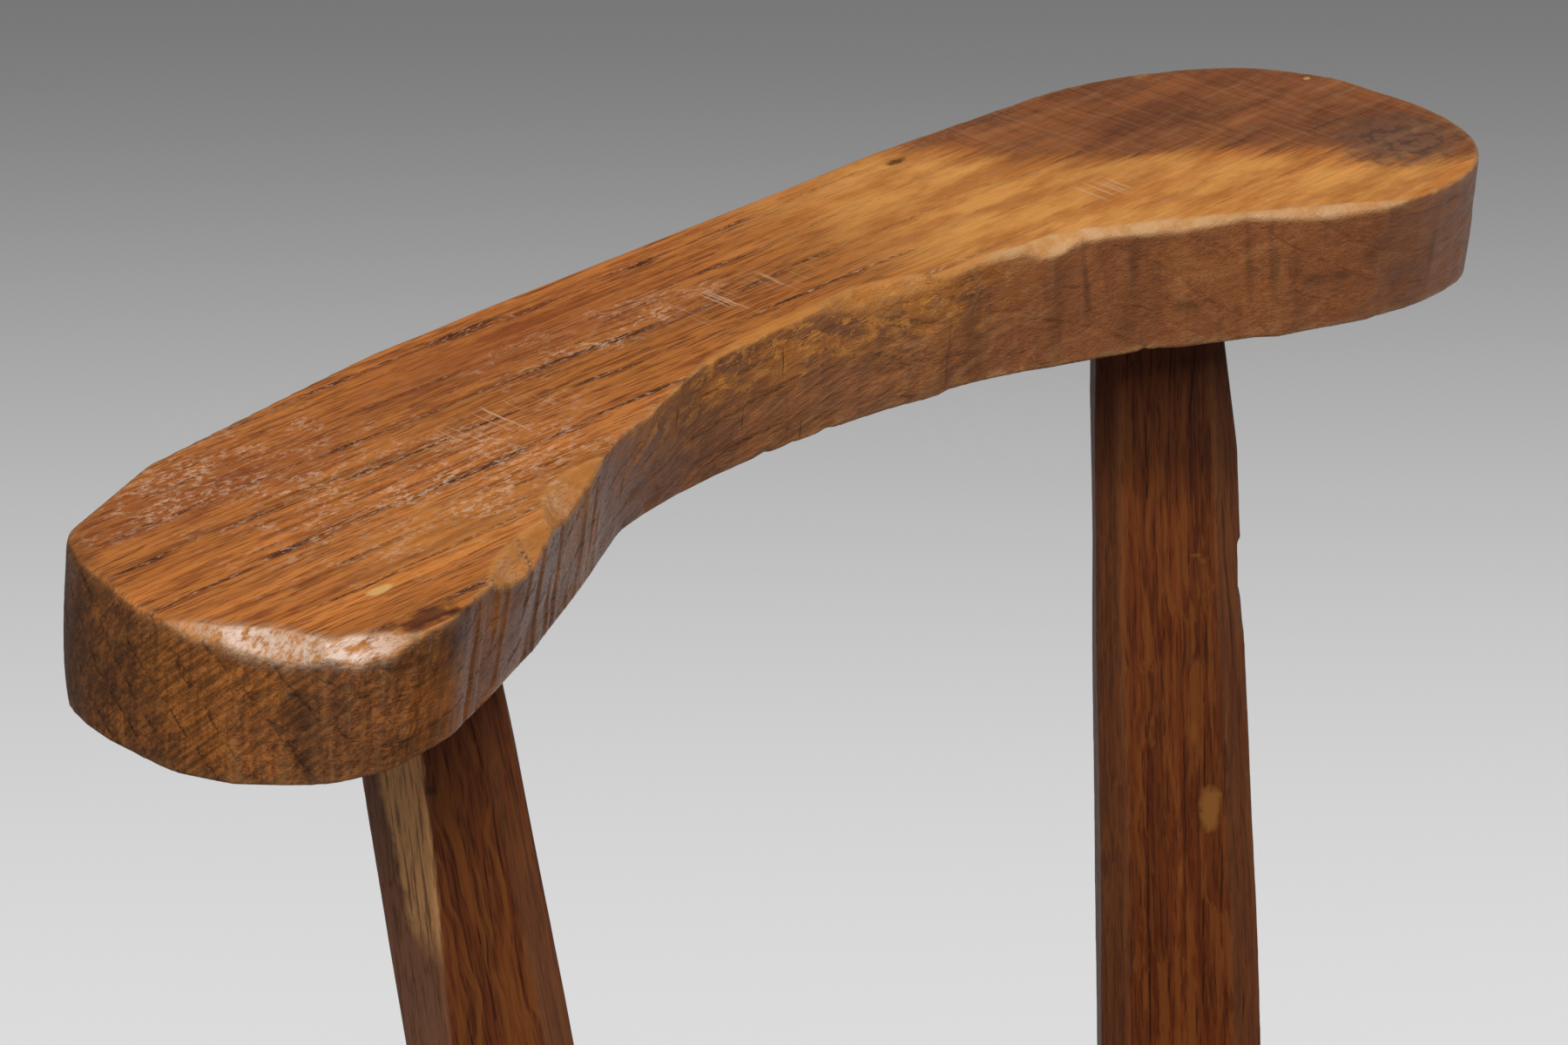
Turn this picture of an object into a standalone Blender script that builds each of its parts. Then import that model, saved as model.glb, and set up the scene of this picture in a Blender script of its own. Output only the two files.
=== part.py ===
"""A hewn oak chair: a plank crest on two leaning posts, a slab seat of three boards and four raked legs.

Each piece is its own object, joined the way such a chair is joined. Round tenons on the legs and posts
go right through the seat and are spread by wedges, blind tenons with hidden wedges hold the crest,
and loose dowels line up the seat boards. Lengths are in metres and +Z is up. The sitter faces -Y, left
is -X, and the origin lies on the floor under the middle of the chair's box.
"""

import math

import bmesh
import bpy
from mathutils import Vector

# Heights, and the gap that every fitted joint keeps
CHAIR_HEIGHT = 0.790
SEAT_HEIGHT = 0.440
FIT_GAP = 0.0003
CUT_MARGIN = 0.004

# Crest: a plank with a faintly bowed back, rounded ends and a hollowed front
CREST_LENGTH = 0.520
CREST_THICKNESS = 0.042
CREST_BACK_REACH = 0.0765
CREST_WAIST = 0.0687
CREST_BACK_ANGLE = math.radians(2.0)
CREST_BACK_RADIUS = 2.400
CREST_FLANK_ANGLE = math.radians(28.0)
CREST_HOLLOW_RADIUS = 0.225
CREST_TIP_RADII = {"left": 0.0415, "right": 0.0465}
CREST_CORNER_RADIUS = 0.070
CREST_TOP_EASE = 0.005
CREST_BOTTOM_EASE = 0.003

# Back posts: stout at the seat, necked in under the crest, leaning back and out
POST_INSET_FROM_CREST_END = 0.101
POST_INSET_FROM_SIDE = 0.0626
POST_INSET_FROM_REAR = 0.045
POST_LEAN = math.radians(7.3)
POST_FOOT_WIDTH = 0.053
POST_NECK_WIDTHS = {"left": 0.0435, "right": 0.0455}
POST_TOP_CUT = 0.003
POST_NECK_LENGTH = 0.038
POST_TURNS = {"left": math.radians(53.0), "right": math.radians(45.0)}

# Seat: three boards of one slab, wider in front
SEAT_FRONT_WIDTH = 0.450
SEAT_REAR_WIDTH = 0.400
SEAT_DEPTH = 0.410
SEAT_THICKNESS = 0.045
SEAT_BOW = 0.012
SEAT_BOW_RADIUS = 0.900
SEAT_FRONT_RADIUS = 0.055
SEAT_REAR_RADIUS = 0.060
SEAT_EASE = 0.005
MIDDLE_BOARD_WIDTH = 0.150

# Loose dowels across the two seat joints
DOWEL_DIAMETER = 0.010
DOWEL_LENGTH = 0.060
DOWEL_PITCH = 0.130
DOWELS_PER_JOINT = 3

# Legs: stout under the seat, tapering to the floor
LEG_TOP_WIDTH = 0.056
LEG_FOOT_WIDTH = 0.042
LEG_SPLAY = math.radians(9.0)
LEG_RAKE = {"front": math.radians(8.0), "rear": math.radians(15.0)}
LEG_INSET_FROM_FRONT = 0.075
LEG_INSET_FROM_REAR = 0.122
LEG_INSET_FROM_SIDE = 0.070
LEG_TURN = math.radians(45.0)
FOOT_EASE = 0.003

# Tenons and the wedges that spread them
SEAT_TENON_DIAMETER = 0.034
CREST_TENON_DIAMETER = 0.030
CREST_TENON_LENGTH = 0.028
MORTISE_END_ROOM = 0.001
WEDGE_THICK = 0.005
WEDGE_THIN = 0.001
WEDGE_STOP = 0.013

# Hewing: how far an axe leaves a face off true, and the share of a side that each corner loses
HEW_DEPTH = 0.0011
CORNER_SHARE = 0.17
HEWN_RINGS = 4
WIDE_FACE_STEPS = 4
ARC_STEP = math.radians(8.0)

SIDES = {"left": -1, "right": 1}
ENDS = {"front": -1, "rear": 1}

OAK_CREST = ("oak_crest", (0.36, 0.145, 0.035), 0.38)
OAK_POST = ("oak_post", (0.20, 0.072, 0.022), 0.42)
OAK_SEAT = ("oak_seat", (0.32, 0.130, 0.034), 0.40)
OAK_LEG = ("oak_leg", (0.20, 0.074, 0.023), 0.42)
OAK_WEDGE = ("oak_wedge", (0.42, 0.200, 0.060), 0.48)
BEECH_DOWEL = ("beech_dowel", (0.55, 0.330, 0.150), 0.55)


def clear_scene():
    for item in list(bpy.data.objects):
        bpy.data.objects.remove(item)


def wood(name, colour, roughness):
    """A plain wood finish, made once for each name."""
    made = bpy.data.materials.get(name)
    if made:
        return made
    made = bpy.data.materials.new(name)
    made.use_nodes = True
    shader = made.node_tree.nodes["Principled BSDF"]
    shader.inputs["Base Color"].default_value = (*colour, 1.0)
    shader.inputs["Roughness"].default_value = roughness
    shader.inputs["Metallic"].default_value = 0.0
    return made


def add_object(name, shape, place, parent):
    """Turns a bmesh into an object whose origin stands at place."""
    bmesh.ops.recalc_face_normals(shape, faces=shape.faces)
    mesh = bpy.data.meshes.new(name)
    shape.to_mesh(mesh)
    shape.free()
    made = bpy.data.objects.new(name, mesh)
    bpy.context.scene.collection.objects.link(made)
    made.location = place
    made.parent = parent
    return made


def add_piece(name, shape, place, parent, finish):
    made = add_object(name, shape, place, parent)
    made.data.materials.append(wood(*finish))
    made.data.shade_smooth()
    made.data.set_sharp_from_angle(angle=math.radians(25.0))
    return made


def add_cutter(name, shape, place, parent):
    made = add_object(name, shape, place, parent)
    made.hide_render = True
    made.display_type = "WIRE"
    return made


def cut(piece, cutter):
    step = piece.modifiers.new(cutter.name, "BOOLEAN")
    step.operation = "DIFFERENCE"
    step.object = cutter


def rounded_outline(corners):
    """Points round a polygon of (x, y, radius), with an arc in place of each corner."""
    points = []
    for index, (x, y, radius) in enumerate(corners):
        corner = Vector((x, y))
        to_before = (Vector(corners[index - 1][:2]) - corner).normalized()
        to_after = (Vector(corners[(index + 1) % len(corners)][:2]) - corner).normalized()
        half_angle = to_before.angle(to_after) / 2
        centre = corner + (to_before + to_after).normalized() * radius / math.sin(half_angle)
        start = corner + to_before * radius / math.tan(half_angle) - centre
        sweep = math.pi - 2 * half_angle
        if to_before.cross(to_after) > 0:
            sweep = -sweep
        steps = max(2, math.ceil(abs(sweep) / ARC_STEP))
        for step in range(steps + 1):
            turn = sweep * step / steps
            across = start.x * math.cos(turn) - start.y * math.sin(turn)
            along = start.x * math.sin(turn) + start.y * math.cos(turn)
            points.append(centre + Vector((across, along)))
    return points


def slab(outline, thickness, top_ease, bottom_ease):
    """A plank of that outline standing on z 0, with its upper and lower arrises eased."""
    shape = bmesh.new()
    base = shape.faces.new([shape.verts.new((point.x, point.y, 0.0)) for point in outline])
    raised = bmesh.ops.extrude_face_region(shape, geom=[base])["geom"]
    bmesh.ops.translate(
        shape,
        verts=[item for item in raised if isinstance(item, bmesh.types.BMVert)],
        vec=(0.0, 0.0, thickness),
    )
    for level, ease in ((thickness, top_ease), (0.0, bottom_ease)):
        rim = [
            edge
            for edge in shape.edges
            if all(abs(vert.co.z - level) < FIT_GAP / 10 for vert in edge.verts)
        ]
        bmesh.ops.bevel(shape, geom=rim, offset=ease, segments=2, profile=0.5, affect="EDGES")
    return shape


def keep_below(shape, point, normal):
    """Saws the shape at a plane, keeps the side behind the normal and closes the cut."""
    everything = shape.verts[:] + shape.edges[:] + shape.faces[:]
    bmesh.ops.bisect_plane(
        shape, geom=everything, plane_co=point, plane_no=normal, clear_outer=True, dist=FIT_GAP / 100
    )
    sawn = [edge for edge in shape.edges if edge.is_boundary]
    bmesh.ops.edgeloop_fill(shape, edges=sawn)


def loft(rings):
    """A closed solid through rings of equal count, from the lowest ring to the highest."""
    shape = bmesh.new()
    loops = [[shape.verts.new(point) for point in ring] for ring in rings]
    for lower, upper in zip(loops, loops[1:]):
        for index in range(len(lower)):
            before = index - 1
            shape.faces.new((lower[before], lower[index], upper[index], upper[before]))
    shape.faces.new(loops[0])
    shape.faces.new(loops[-1])
    return shape


def axis_point(slope, height):
    """Where a slanting stick's axis stands at a height, measured from its own origin."""
    return Vector((slope[0] * height, slope[1] * height, height))


def hewn_section(width, turn, face_offsets=(0.0, 0.0, 0.0, 0.0)):
    """Flat points round a square stick with its corners hewn off, each wide face moved by its offset."""
    reach = [width / 2 + offset for offset in face_offsets]
    corner = CORNER_SHARE * width
    points = []
    for side in range(4):
        normal = Vector((math.cos(turn + side * math.pi / 2), math.sin(turn + side * math.pi / 2)))
        along = Vector((-normal.y, normal.x))
        low = corner - reach[side - 1]
        high = reach[(side + 1) % 4] - corner
        for step in range(WIDE_FACE_STEPS + 1):
            points.append(normal * reach[side] + along * (low + (high - low) * step / WIDE_FACE_STEPS))
        next_normal = along
        next_start = next_normal * reach[(side + 1) % 4] - Vector((-along.y, along.x)) * (reach[side] - corner)
        points.append((points[-1] + next_start) / 2)
    return points


def hewn_ring(slope, height, width, turn, seed=None, station=0):
    """One level ring of a hewn stick. A seed gives the faces the small errors of an axe."""
    offsets = [0.0] * 4
    if seed is not None:
        offsets = [HEW_DEPTH * math.sin(1.9 * seed + 2.3 * station + 1.7 * side) for side in range(4)]
    centre = axis_point(slope, height)
    return [centre + point.to_3d() for point in hewn_section(width, turn, offsets)]


def round_ring(slope, height, radius, turn):
    """One level round ring, its points in line with those of a hewn ring of the same turn."""
    centre = axis_point(slope, height)
    return [centre + (point.normalized() * radius).to_3d() for point in hewn_section(1.0, turn)]


def round_pin(slope, low, high, radius, turn):
    return loft([round_ring(slope, low, radius, turn), round_ring(slope, high, radius, turn)])


def wedge_shape(slope, thick_end, thin_end, half_width, grow=0.0, overrun=0.0):
    """A wedge along a stick's axis. Grown and run past its thick end, it is the kerf that it opens."""
    length = thick_end - thin_end
    stretch = overrun / abs(length)
    half_thin = WEDGE_THIN / 2 + grow
    half_thick = WEDGE_THICK / 2 + grow + stretch * (WEDGE_THICK - WEDGE_THIN) / 2
    rings = []
    for height, half in ((thin_end, half_thin), (thick_end + stretch * length, half_thick)):
        corners = ((-half_width, -half), (half_width, -half), (half_width, half), (-half_width, half))
        centre = axis_point(slope, height)
        rings.append([centre + Vector((across, along, 0.0)) for across, along in corners])
    return loft(sorted(rings, key=lambda ring: ring[0].z))


def wedge_tenon(stick, name, slope, tenon_end, tenon_root, diameter):
    """Saws a kerf in a stick's tenon and drives a wedge into it, flush with the tenon's end."""
    inward = math.copysign(1.0, tenon_root - tenon_end)
    tip = tenon_root - inward * WEDGE_STOP
    radius = diameter / 2
    flush_half_width = math.sqrt(radius**2 - (WEDGE_THICK / 2) ** 2)
    kerf = wedge_shape(
        slope, tenon_end, tip + inward * FIT_GAP, radius + CUT_MARGIN, grow=FIT_GAP, overrun=CUT_MARGIN
    )
    cut(stick, add_cutter(name + "_kerf", kerf, stick.location, stick.parent))
    wedge = wedge_shape(slope, tenon_end, tip, flush_half_width - FIT_GAP)
    return add_piece(name, wedge, stick.location, stick.parent, OAK_WEDGE)


def mortise(piece, name, slope, low, high, diameter, turn, place, parent):
    """Bores a round hole through or into a piece, in line with the tenon that it takes."""
    hole = round_pin(slope, low, high, diameter / 2 + FIT_GAP, turn)
    cut(piece, add_cutter(name, hole, place, parent))


def seat_half_width(y):
    """Half the seat's width at a distance y behind its middle, before its corners are rounded."""
    share = (y + SEAT_DEPTH / 2) / SEAT_DEPTH
    return (SEAT_FRONT_WIDTH + (SEAT_REAR_WIDTH - SEAT_FRONT_WIDTH) * share) / 2


def seat_boards(chair):
    """The three boards of the seat, sawn from one slab whose front and back edges bow out a little."""
    front, rear = -SEAT_DEPTH / 2, SEAT_DEPTH / 2
    corners = (
        (0.0, front - SEAT_BOW_RADIUS * bow_lift(SEAT_FRONT_WIDTH), SEAT_BOW_RADIUS),
        (SEAT_FRONT_WIDTH / 2, front + SEAT_BOW, SEAT_FRONT_RADIUS),
        (SEAT_REAR_WIDTH / 2, rear - SEAT_BOW, SEAT_REAR_RADIUS),
        (0.0, rear + SEAT_BOW_RADIUS * bow_lift(SEAT_REAR_WIDTH), SEAT_BOW_RADIUS),
        (-SEAT_REAR_WIDTH / 2, rear - SEAT_BOW, SEAT_REAR_RADIUS),
        (-SEAT_FRONT_WIDTH / 2, front + SEAT_BOW, SEAT_FRONT_RADIUS),
    )
    outline = rounded_outline(corners)
    joint = MIDDLE_BOARD_WIDTH / 2
    boards = {}
    for name, low, high in (
        ("left", None, -joint - FIT_GAP / 2),
        ("middle", -joint + FIT_GAP / 2, joint - FIT_GAP / 2),
        ("right", joint + FIT_GAP / 2, None),
    ):
        shape = slab(outline, SEAT_THICKNESS, SEAT_EASE, SEAT_EASE)
        if low is not None:
            keep_below(shape, (low, 0.0, 0.0), (-1.0, 0.0, 0.0))
        if high is not None:
            keep_below(shape, (high, 0.0, 0.0), (1.0, 0.0, 0.0))
        place = (0.0, 0.0, SEAT_HEIGHT - SEAT_THICKNESS)
        boards[name] = add_piece("seat_board_" + name, shape, place, chair, OAK_SEAT)
    return boards


def bow_lift(width):
    """How far a bowed edge's corner stands off its arc, as a share of the arc's radius."""
    angle = math.atan2(SEAT_BOW, width / 2)
    return 1 / math.cos(angle) - 1


def seat_dowels(chair, boards):
    """Dowels at mid thickness across each joint, with a hole for them in both boards."""
    mid_height = SEAT_HEIGHT - SEAT_THICKNESS / 2
    half_length = DOWEL_LENGTH / 2
    for name, sign in SIDES.items():
        for index in range(DOWELS_PER_JOINT):
            along = (index - (DOWELS_PER_JOINT - 1) / 2) * DOWEL_PITCH
            place = (sign * MIDDLE_BOARD_WIDTH / 2, along, mid_height)
            dowel = f"seat_dowel_{name}_{index + 1}"
            add_piece(dowel, level_pin(half_length, DOWEL_DIAMETER / 2), place, chair, BEECH_DOWEL)
            hole = level_pin(half_length + FIT_GAP, DOWEL_DIAMETER / 2 + FIT_GAP)
            bore = add_cutter(dowel + "_bore", hole, place, chair)
            cut(boards[name], bore)
            cut(boards["middle"], bore)


def level_pin(half_length, radius):
    """A round pin lying along X."""
    pin = round_pin((0.0, 0.0), -half_length, half_length, radius, 0.0)
    for vert in pin.verts:
        vert.co = Vector((vert.co.z, vert.co.x, vert.co.y))
    return pin


def legs(chair, boards):
    """Four hewn legs with round tenons through the seat, wedged from above."""
    shoulder = -SEAT_THICKNESS - FIT_GAP
    root = -SEAT_THICKNESS
    for end, forward in ENDS.items():
        for side, sign in SIDES.items():
            if end == "front":
                along = -SEAT_DEPTH / 2 + LEG_INSET_FROM_FRONT
            else:
                along = SEAT_DEPTH / 2 - LEG_INSET_FROM_REAR
            place = Vector((sign * (seat_half_width(along) - LEG_INSET_FROM_SIDE), along, SEAT_HEIGHT))
            slope = (-sign * math.tan(LEG_SPLAY), -forward * math.tan(LEG_RAKE[end]))
            seed = 2 * forward + sign
            rings = [hewn_ring(slope, -SEAT_HEIGHT, LEG_FOOT_WIDTH - 2 * FOOT_EASE, LEG_TURN, seed)]
            for station in range(HEWN_RINGS):
                share = station / (HEWN_RINGS - 1)
                height = (FOOT_EASE - SEAT_HEIGHT) * (1 - share) + shoulder * share
                width = LEG_FOOT_WIDTH + (LEG_TOP_WIDTH - LEG_FOOT_WIDTH) * share
                rings.append(hewn_ring(slope, height, width, LEG_TURN, seed, station))
            radius = SEAT_TENON_DIAMETER / 2
            rings.append(round_ring(slope, shoulder, radius, LEG_TURN))
            rings.append(round_ring(slope, 0.0, radius, LEG_TURN))
            leg = add_piece(f"leg_{end}_{side}", loft(rings), place, chair, OAK_LEG)
            wedge_tenon(leg, f"leg_wedge_{end}_{side}", slope, 0.0, root, SEAT_TENON_DIAMETER)
            low, high = root - CUT_MARGIN, CUT_MARGIN
            name = f"leg_mortise_{end}_{side}"
            mortise(boards[side], name, slope, low, high, SEAT_TENON_DIAMETER, LEG_TURN, place, chair)


def crest(chair, place):
    """The crest plank, standing on the tops of the posts."""
    half = CREST_LENGTH / 2
    back_lift = CREST_BACK_RADIUS * (1 / math.cos(CREST_BACK_ANGLE) - 1)
    hollow_lift = CREST_HOLLOW_RADIUS * (1 / math.cos(CREST_FLANK_ANGLE) - 1)
    back = CREST_BACK_REACH + back_lift
    front = CREST_BACK_REACH - CREST_WAIST + hollow_lift
    back_corner = back - half * math.tan(CREST_BACK_ANGLE)
    tip = front - half * math.tan(CREST_FLANK_ANGLE)
    corners = (
        (0.0, back, CREST_BACK_RADIUS),
        (-half, back_corner, CREST_CORNER_RADIUS),
        (-half, tip, CREST_TIP_RADII["left"]),
        (0.0, front, CREST_HOLLOW_RADIUS),
        (half, tip, CREST_TIP_RADII["right"]),
        (half, back_corner, CREST_CORNER_RADIUS),
    )
    shape = slab(rounded_outline(corners), CREST_THICKNESS, CREST_TOP_EASE, CREST_BOTTOM_EASE)
    return add_piece("crest_rail", shape, place, chair, OAK_CREST)


def back_posts(chair, boards):
    """Two hewn posts, wedged through the seat from below, and the crest that their blind tenons carry."""
    rise = CHAIR_HEIGHT - CREST_THICKNESS - SEAT_HEIGHT
    along = SEAT_DEPTH / 2 - POST_INSET_FROM_REAR
    half_spacing = seat_half_width(along) - POST_INSET_FROM_SIDE
    splay_slope = (CREST_LENGTH / 2 - POST_INSET_FROM_CREST_END - half_spacing) / rise
    crest_place = (0.0, along + rise * math.tan(POST_LEAN), SEAT_HEIGHT + rise)
    rail = crest(chair, crest_place)
    low_end, low_root = -SEAT_THICKNESS, 0.0
    top_root, top_end = rise, rise + CREST_TENON_LENGTH
    for side, sign in SIDES.items():
        turn = POST_TURNS[side]
        place = Vector((sign * half_spacing, along, SEAT_HEIGHT))
        slope = (sign * splay_slope, math.tan(POST_LEAN))
        foot_radius, top_radius = SEAT_TENON_DIAMETER / 2, CREST_TENON_DIAMETER / 2
        rings = [
            round_ring(slope, low_end, foot_radius, turn),
            round_ring(slope, FIT_GAP, foot_radius, turn),
        ]
        neck = rise - POST_NECK_LENGTH
        neck_width = POST_NECK_WIDTHS[side]
        for station in range(HEWN_RINGS):
            share = station / (HEWN_RINGS - 1)
            height = FIT_GAP * (1 - share) + neck * share
            width = POST_FOOT_WIDTH + (neck_width - POST_FOOT_WIDTH) * share
            rings.append(hewn_ring(slope, height, width, turn, sign, station))
        rings.append(hewn_ring(slope, rise - FIT_GAP, neck_width - POST_TOP_CUT, turn, sign, HEWN_RINGS))
        rings.append(round_ring(slope, rise - FIT_GAP, top_radius, turn))
        rings.append(round_ring(slope, top_end, top_radius, turn))
        post = add_piece(f"back_post_{side}", loft(rings), place, chair, OAK_POST)
        wedge_tenon(post, f"post_wedge_{side}", slope, low_end, low_root, SEAT_TENON_DIAMETER)
        wedge_tenon(post, f"crest_wedge_{side}", slope, top_end, top_root, CREST_TENON_DIAMETER)
        low, high = low_end - CUT_MARGIN, CUT_MARGIN
        name = f"post_mortise_{side}"
        mortise(boards[side], name, slope, low, high, SEAT_TENON_DIAMETER, turn, place, chair)
        low, high = top_root - CUT_MARGIN, top_end + MORTISE_END_ROOM
        name = f"crest_mortise_{side}"
        mortise(rail, name, slope, low, high, CREST_TENON_DIAMETER, turn, place, chair)


def stand_over_origin(chair):
    """Moves the whole chair so that the middle of its box stands over the origin."""
    bpy.context.view_layer.update()
    graph = bpy.context.evaluated_depsgraph_get()
    corners = []
    for piece in chair.children:
        if not piece.hide_render:
            evaluated = piece.evaluated_get(graph)
            corners += [evaluated.matrix_world @ Vector(corner) for corner in evaluated.bound_box]
    for axis in range(2):
        values = [corner[axis] for corner in corners]
        chair.location[axis] -= (min(values) + max(values)) / 2


def main():
    clear_scene()
    chair = bpy.data.objects.new("chair", None)
    bpy.context.scene.collection.objects.link(chair)
    boards = seat_boards(chair)
    seat_dowels(chair, boards)
    legs(chair, boards)
    back_posts(chair, boards)
    stand_over_origin(chair)


main()
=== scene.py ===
# %% [markdown]
# # A hewn oak chair
#
# This lesson dresses a chair whose pieces are already joined in a fixed frame: a thick plank crest on two
# leaning posts, a seat of three boards, and four raked legs. The frame gives every piece its place and size.
# What is missing is what the axe, the saw and long use left on the wood, and that is what is modelled here.
# Lengths are in metres, +Z is up and the sitter faces -Y.

# %% Load the frame
import math

import bmesh
import bpy
import numpy as np
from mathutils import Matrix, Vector, noise


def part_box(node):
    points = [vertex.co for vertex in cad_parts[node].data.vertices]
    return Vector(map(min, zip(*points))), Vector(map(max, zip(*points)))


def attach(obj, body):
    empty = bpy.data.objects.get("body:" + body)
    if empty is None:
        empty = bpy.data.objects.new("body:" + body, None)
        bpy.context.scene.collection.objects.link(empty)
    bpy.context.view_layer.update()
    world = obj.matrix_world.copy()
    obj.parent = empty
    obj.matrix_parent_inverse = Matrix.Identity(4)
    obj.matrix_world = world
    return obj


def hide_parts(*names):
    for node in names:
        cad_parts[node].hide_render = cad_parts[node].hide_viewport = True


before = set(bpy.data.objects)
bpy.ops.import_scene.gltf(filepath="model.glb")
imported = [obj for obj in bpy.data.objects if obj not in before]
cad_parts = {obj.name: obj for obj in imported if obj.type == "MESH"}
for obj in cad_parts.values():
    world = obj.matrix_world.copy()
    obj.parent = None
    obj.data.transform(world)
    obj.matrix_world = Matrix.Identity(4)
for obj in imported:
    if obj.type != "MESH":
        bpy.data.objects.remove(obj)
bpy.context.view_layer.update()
MM = 0.001
crest_low, crest_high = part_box("crest_rail")

# %% [markdown]
# ## Camera
# The photograph looks down on the left end of the crest through a long lens, from in front of the chair and
# to its left. The camera is placed from one point that both share: the point of the crest's top that stands
# over the line between the two posts.

# %% Camera
CREST_BACK_REACH = 76.5 * MM
post_line = crest_high.y - CREST_BACK_REACH
crest_mark = Vector((0.0, post_line, crest_high.z))
CAMERA_OFFSET = Vector((-1.0068, -0.9803, 0.6335))
CAMERA_TILT = math.radians(63.5)
CAMERA_TURN = math.radians(-45.43)
bpy.ops.object.camera_add(location=crest_mark + CAMERA_OFFSET, rotation=(CAMERA_TILT, 0.0, CAMERA_TURN))
camera = bpy.context.active_object
camera.data.lens = 120.0
camera.data.sensor_width = 36.0
bpy.context.scene.camera = camera
print("camera at", [round(value, 3) for value in camera.location])

# %% [markdown]
# ## Tools for finishes
# Every colour in this lesson is worked out by nodes. Wiring them one by one takes many lines, so each kind
# of node has a short helper that makes it, feeds its inputs and hands back its output. A value may be a
# plain number, a colour or the output of another node.

# %% Node helpers
def feed(tree, socket, value):
    """Links a socket to an output, or sets its plain value."""
    if isinstance(value, bpy.types.NodeSocket):
        tree.links.new(value, socket)
    else:
        socket.default_value = value


def maths(tree, operation, first, second=0.0):
    node = tree.nodes.new("ShaderNodeMath")
    node.operation = operation
    feed(tree, node.inputs[0], first)
    feed(tree, node.inputs[1], second)
    return node.outputs[0]


def times(tree, product, *factors):
    for factor in factors:
        product = maths(tree, "MULTIPLY", product, factor)
    return product


def plus(tree, total, *terms):
    for term in terms:
        total = maths(tree, "ADD", total, term)
    return total


def minus(tree, first, second):
    return maths(tree, "SUBTRACT", first, second)


def vector_maths(tree, operation, first, second):
    node = tree.nodes.new("ShaderNodeVectorMath")
    node.operation = operation
    feed(tree, node.inputs[0], first)
    feed(tree, node.inputs[1], second)
    return node.outputs["Value" if operation == "LENGTH" else "Vector"]


def fade(tree, value, low, high, at_low=0.0, at_high=1.0):
    """Runs smoothly from one value to another while its input goes from low to high."""
    node = tree.nodes.new("ShaderNodeMapRange")
    node.interpolation_type = "SMOOTHSTEP"
    for name, number in (("From Min", low), ("From Max", high), ("To Min", at_low), ("To Max", at_high)):
        feed(tree, node.inputs[name], number)
    feed(tree, node.inputs["Value"], value)
    return node.outputs["Result"]


def mottle(tree, place, scale, detail=2.0, roughness=0.5):
    """Noise from 0 to 1, with its own scale along each axis."""
    node = tree.nodes.new("ShaderNodeTexNoise")
    for name, number in (("Scale", 1.0), ("Detail", detail), ("Roughness", roughness), ("Distortion", 0.0)):
        node.inputs[name].default_value = number
    tree.links.new(vector_maths(tree, "MULTIPLY", place, scale), node.inputs["Vector"])
    return node.outputs["Fac"]


def blend_colour(tree, share, first, second):
    node = tree.nodes.new("ShaderNodeMix")
    node.data_type = "RGBA"
    feed(tree, node.inputs[0], share)
    feed(tree, node.inputs[6], first)
    feed(tree, node.inputs[7], second)
    return node.outputs[2]


def lay(tree, colour, stain, *shares):
    """Lays a stain over a colour, as strongly as the product of its shares."""
    return blend_colour(tree, times(tree, *shares), colour, stain)


def tone(tree, colour, factor):
    """Makes a colour lighter or darker by a factor."""
    node = tree.nodes.new("ShaderNodeVectorMath")
    node.operation = "SCALE"
    feed(tree, node.inputs[0], colour)
    feed(tree, node.inputs["Scale"], factor)
    return node.outputs["Vector"]


def object_place(tree):
    return tree.nodes.new("ShaderNodeTexCoord").outputs["Object"]


def turned_place(tree, place, turn):
    """The same place in coordinates that are turned by three angles."""
    node = tree.nodes.new("ShaderNodeMapping")
    node.inputs["Rotation"].default_value = turn
    tree.links.new(place, node.inputs["Vector"])
    return node.outputs["Vector"]


def split_axes(tree, place):
    """The X, Y and Z of a place."""
    node = tree.nodes.new("ShaderNodeSeparateXYZ")
    tree.links.new(place, node.inputs["Vector"])
    return node.outputs


def read_attribute(tree, name, output="Fac"):
    node = tree.nodes.new("ShaderNodeAttribute")
    node.attribute_name = name
    return node.outputs[output]


def new_finish(name):
    """A material with its Principled shader. Returns the material, its tree and the shader's inputs."""
    made = bpy.data.materials.new(name)
    made.use_nodes = True
    return made, made.node_tree, made.node_tree.nodes["Principled BSDF"].inputs


print("node helpers ready")

# %% [markdown]
# ## Floor and light
# The chair stands on a pale floor. Its colour is painted darker away from the viewer, a painted falloff of
# light as on a studio sweep, and for camera and glossy rays it also glows with a painted light that fades
# the same way. One large soft lamp hangs overhead, in front and to the left, so that level faces are bright,
# upright faces are about half as bright, and the chamfer of the left tip gleams, helped by a painted
# highlight. A weaker one stands to the right, for the gleam along the right arris. A grey world fills the
# shade.

# %% Floor
FLOOR_SIZE = 60.0
PAINTED_FALLOFF_GREYS = (0.45, 0.12)
PAINTED_SWEEP_GLOWS = (0.53, 0.147)
GRADIENT_START = 0.82
GRADIENT_LENGTH = 1.75
bpy.ops.mesh.primitive_plane_add(size=FLOOR_SIZE)
floor = bpy.context.active_object
floor.name = "floor"
floor_finish, tree, floor_shader = new_finish("pale_floor")
away = split_axes(tree, turned_place(tree, object_place(tree), (0.0, 0.0, -CAMERA_TURN)))["Y"]
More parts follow.
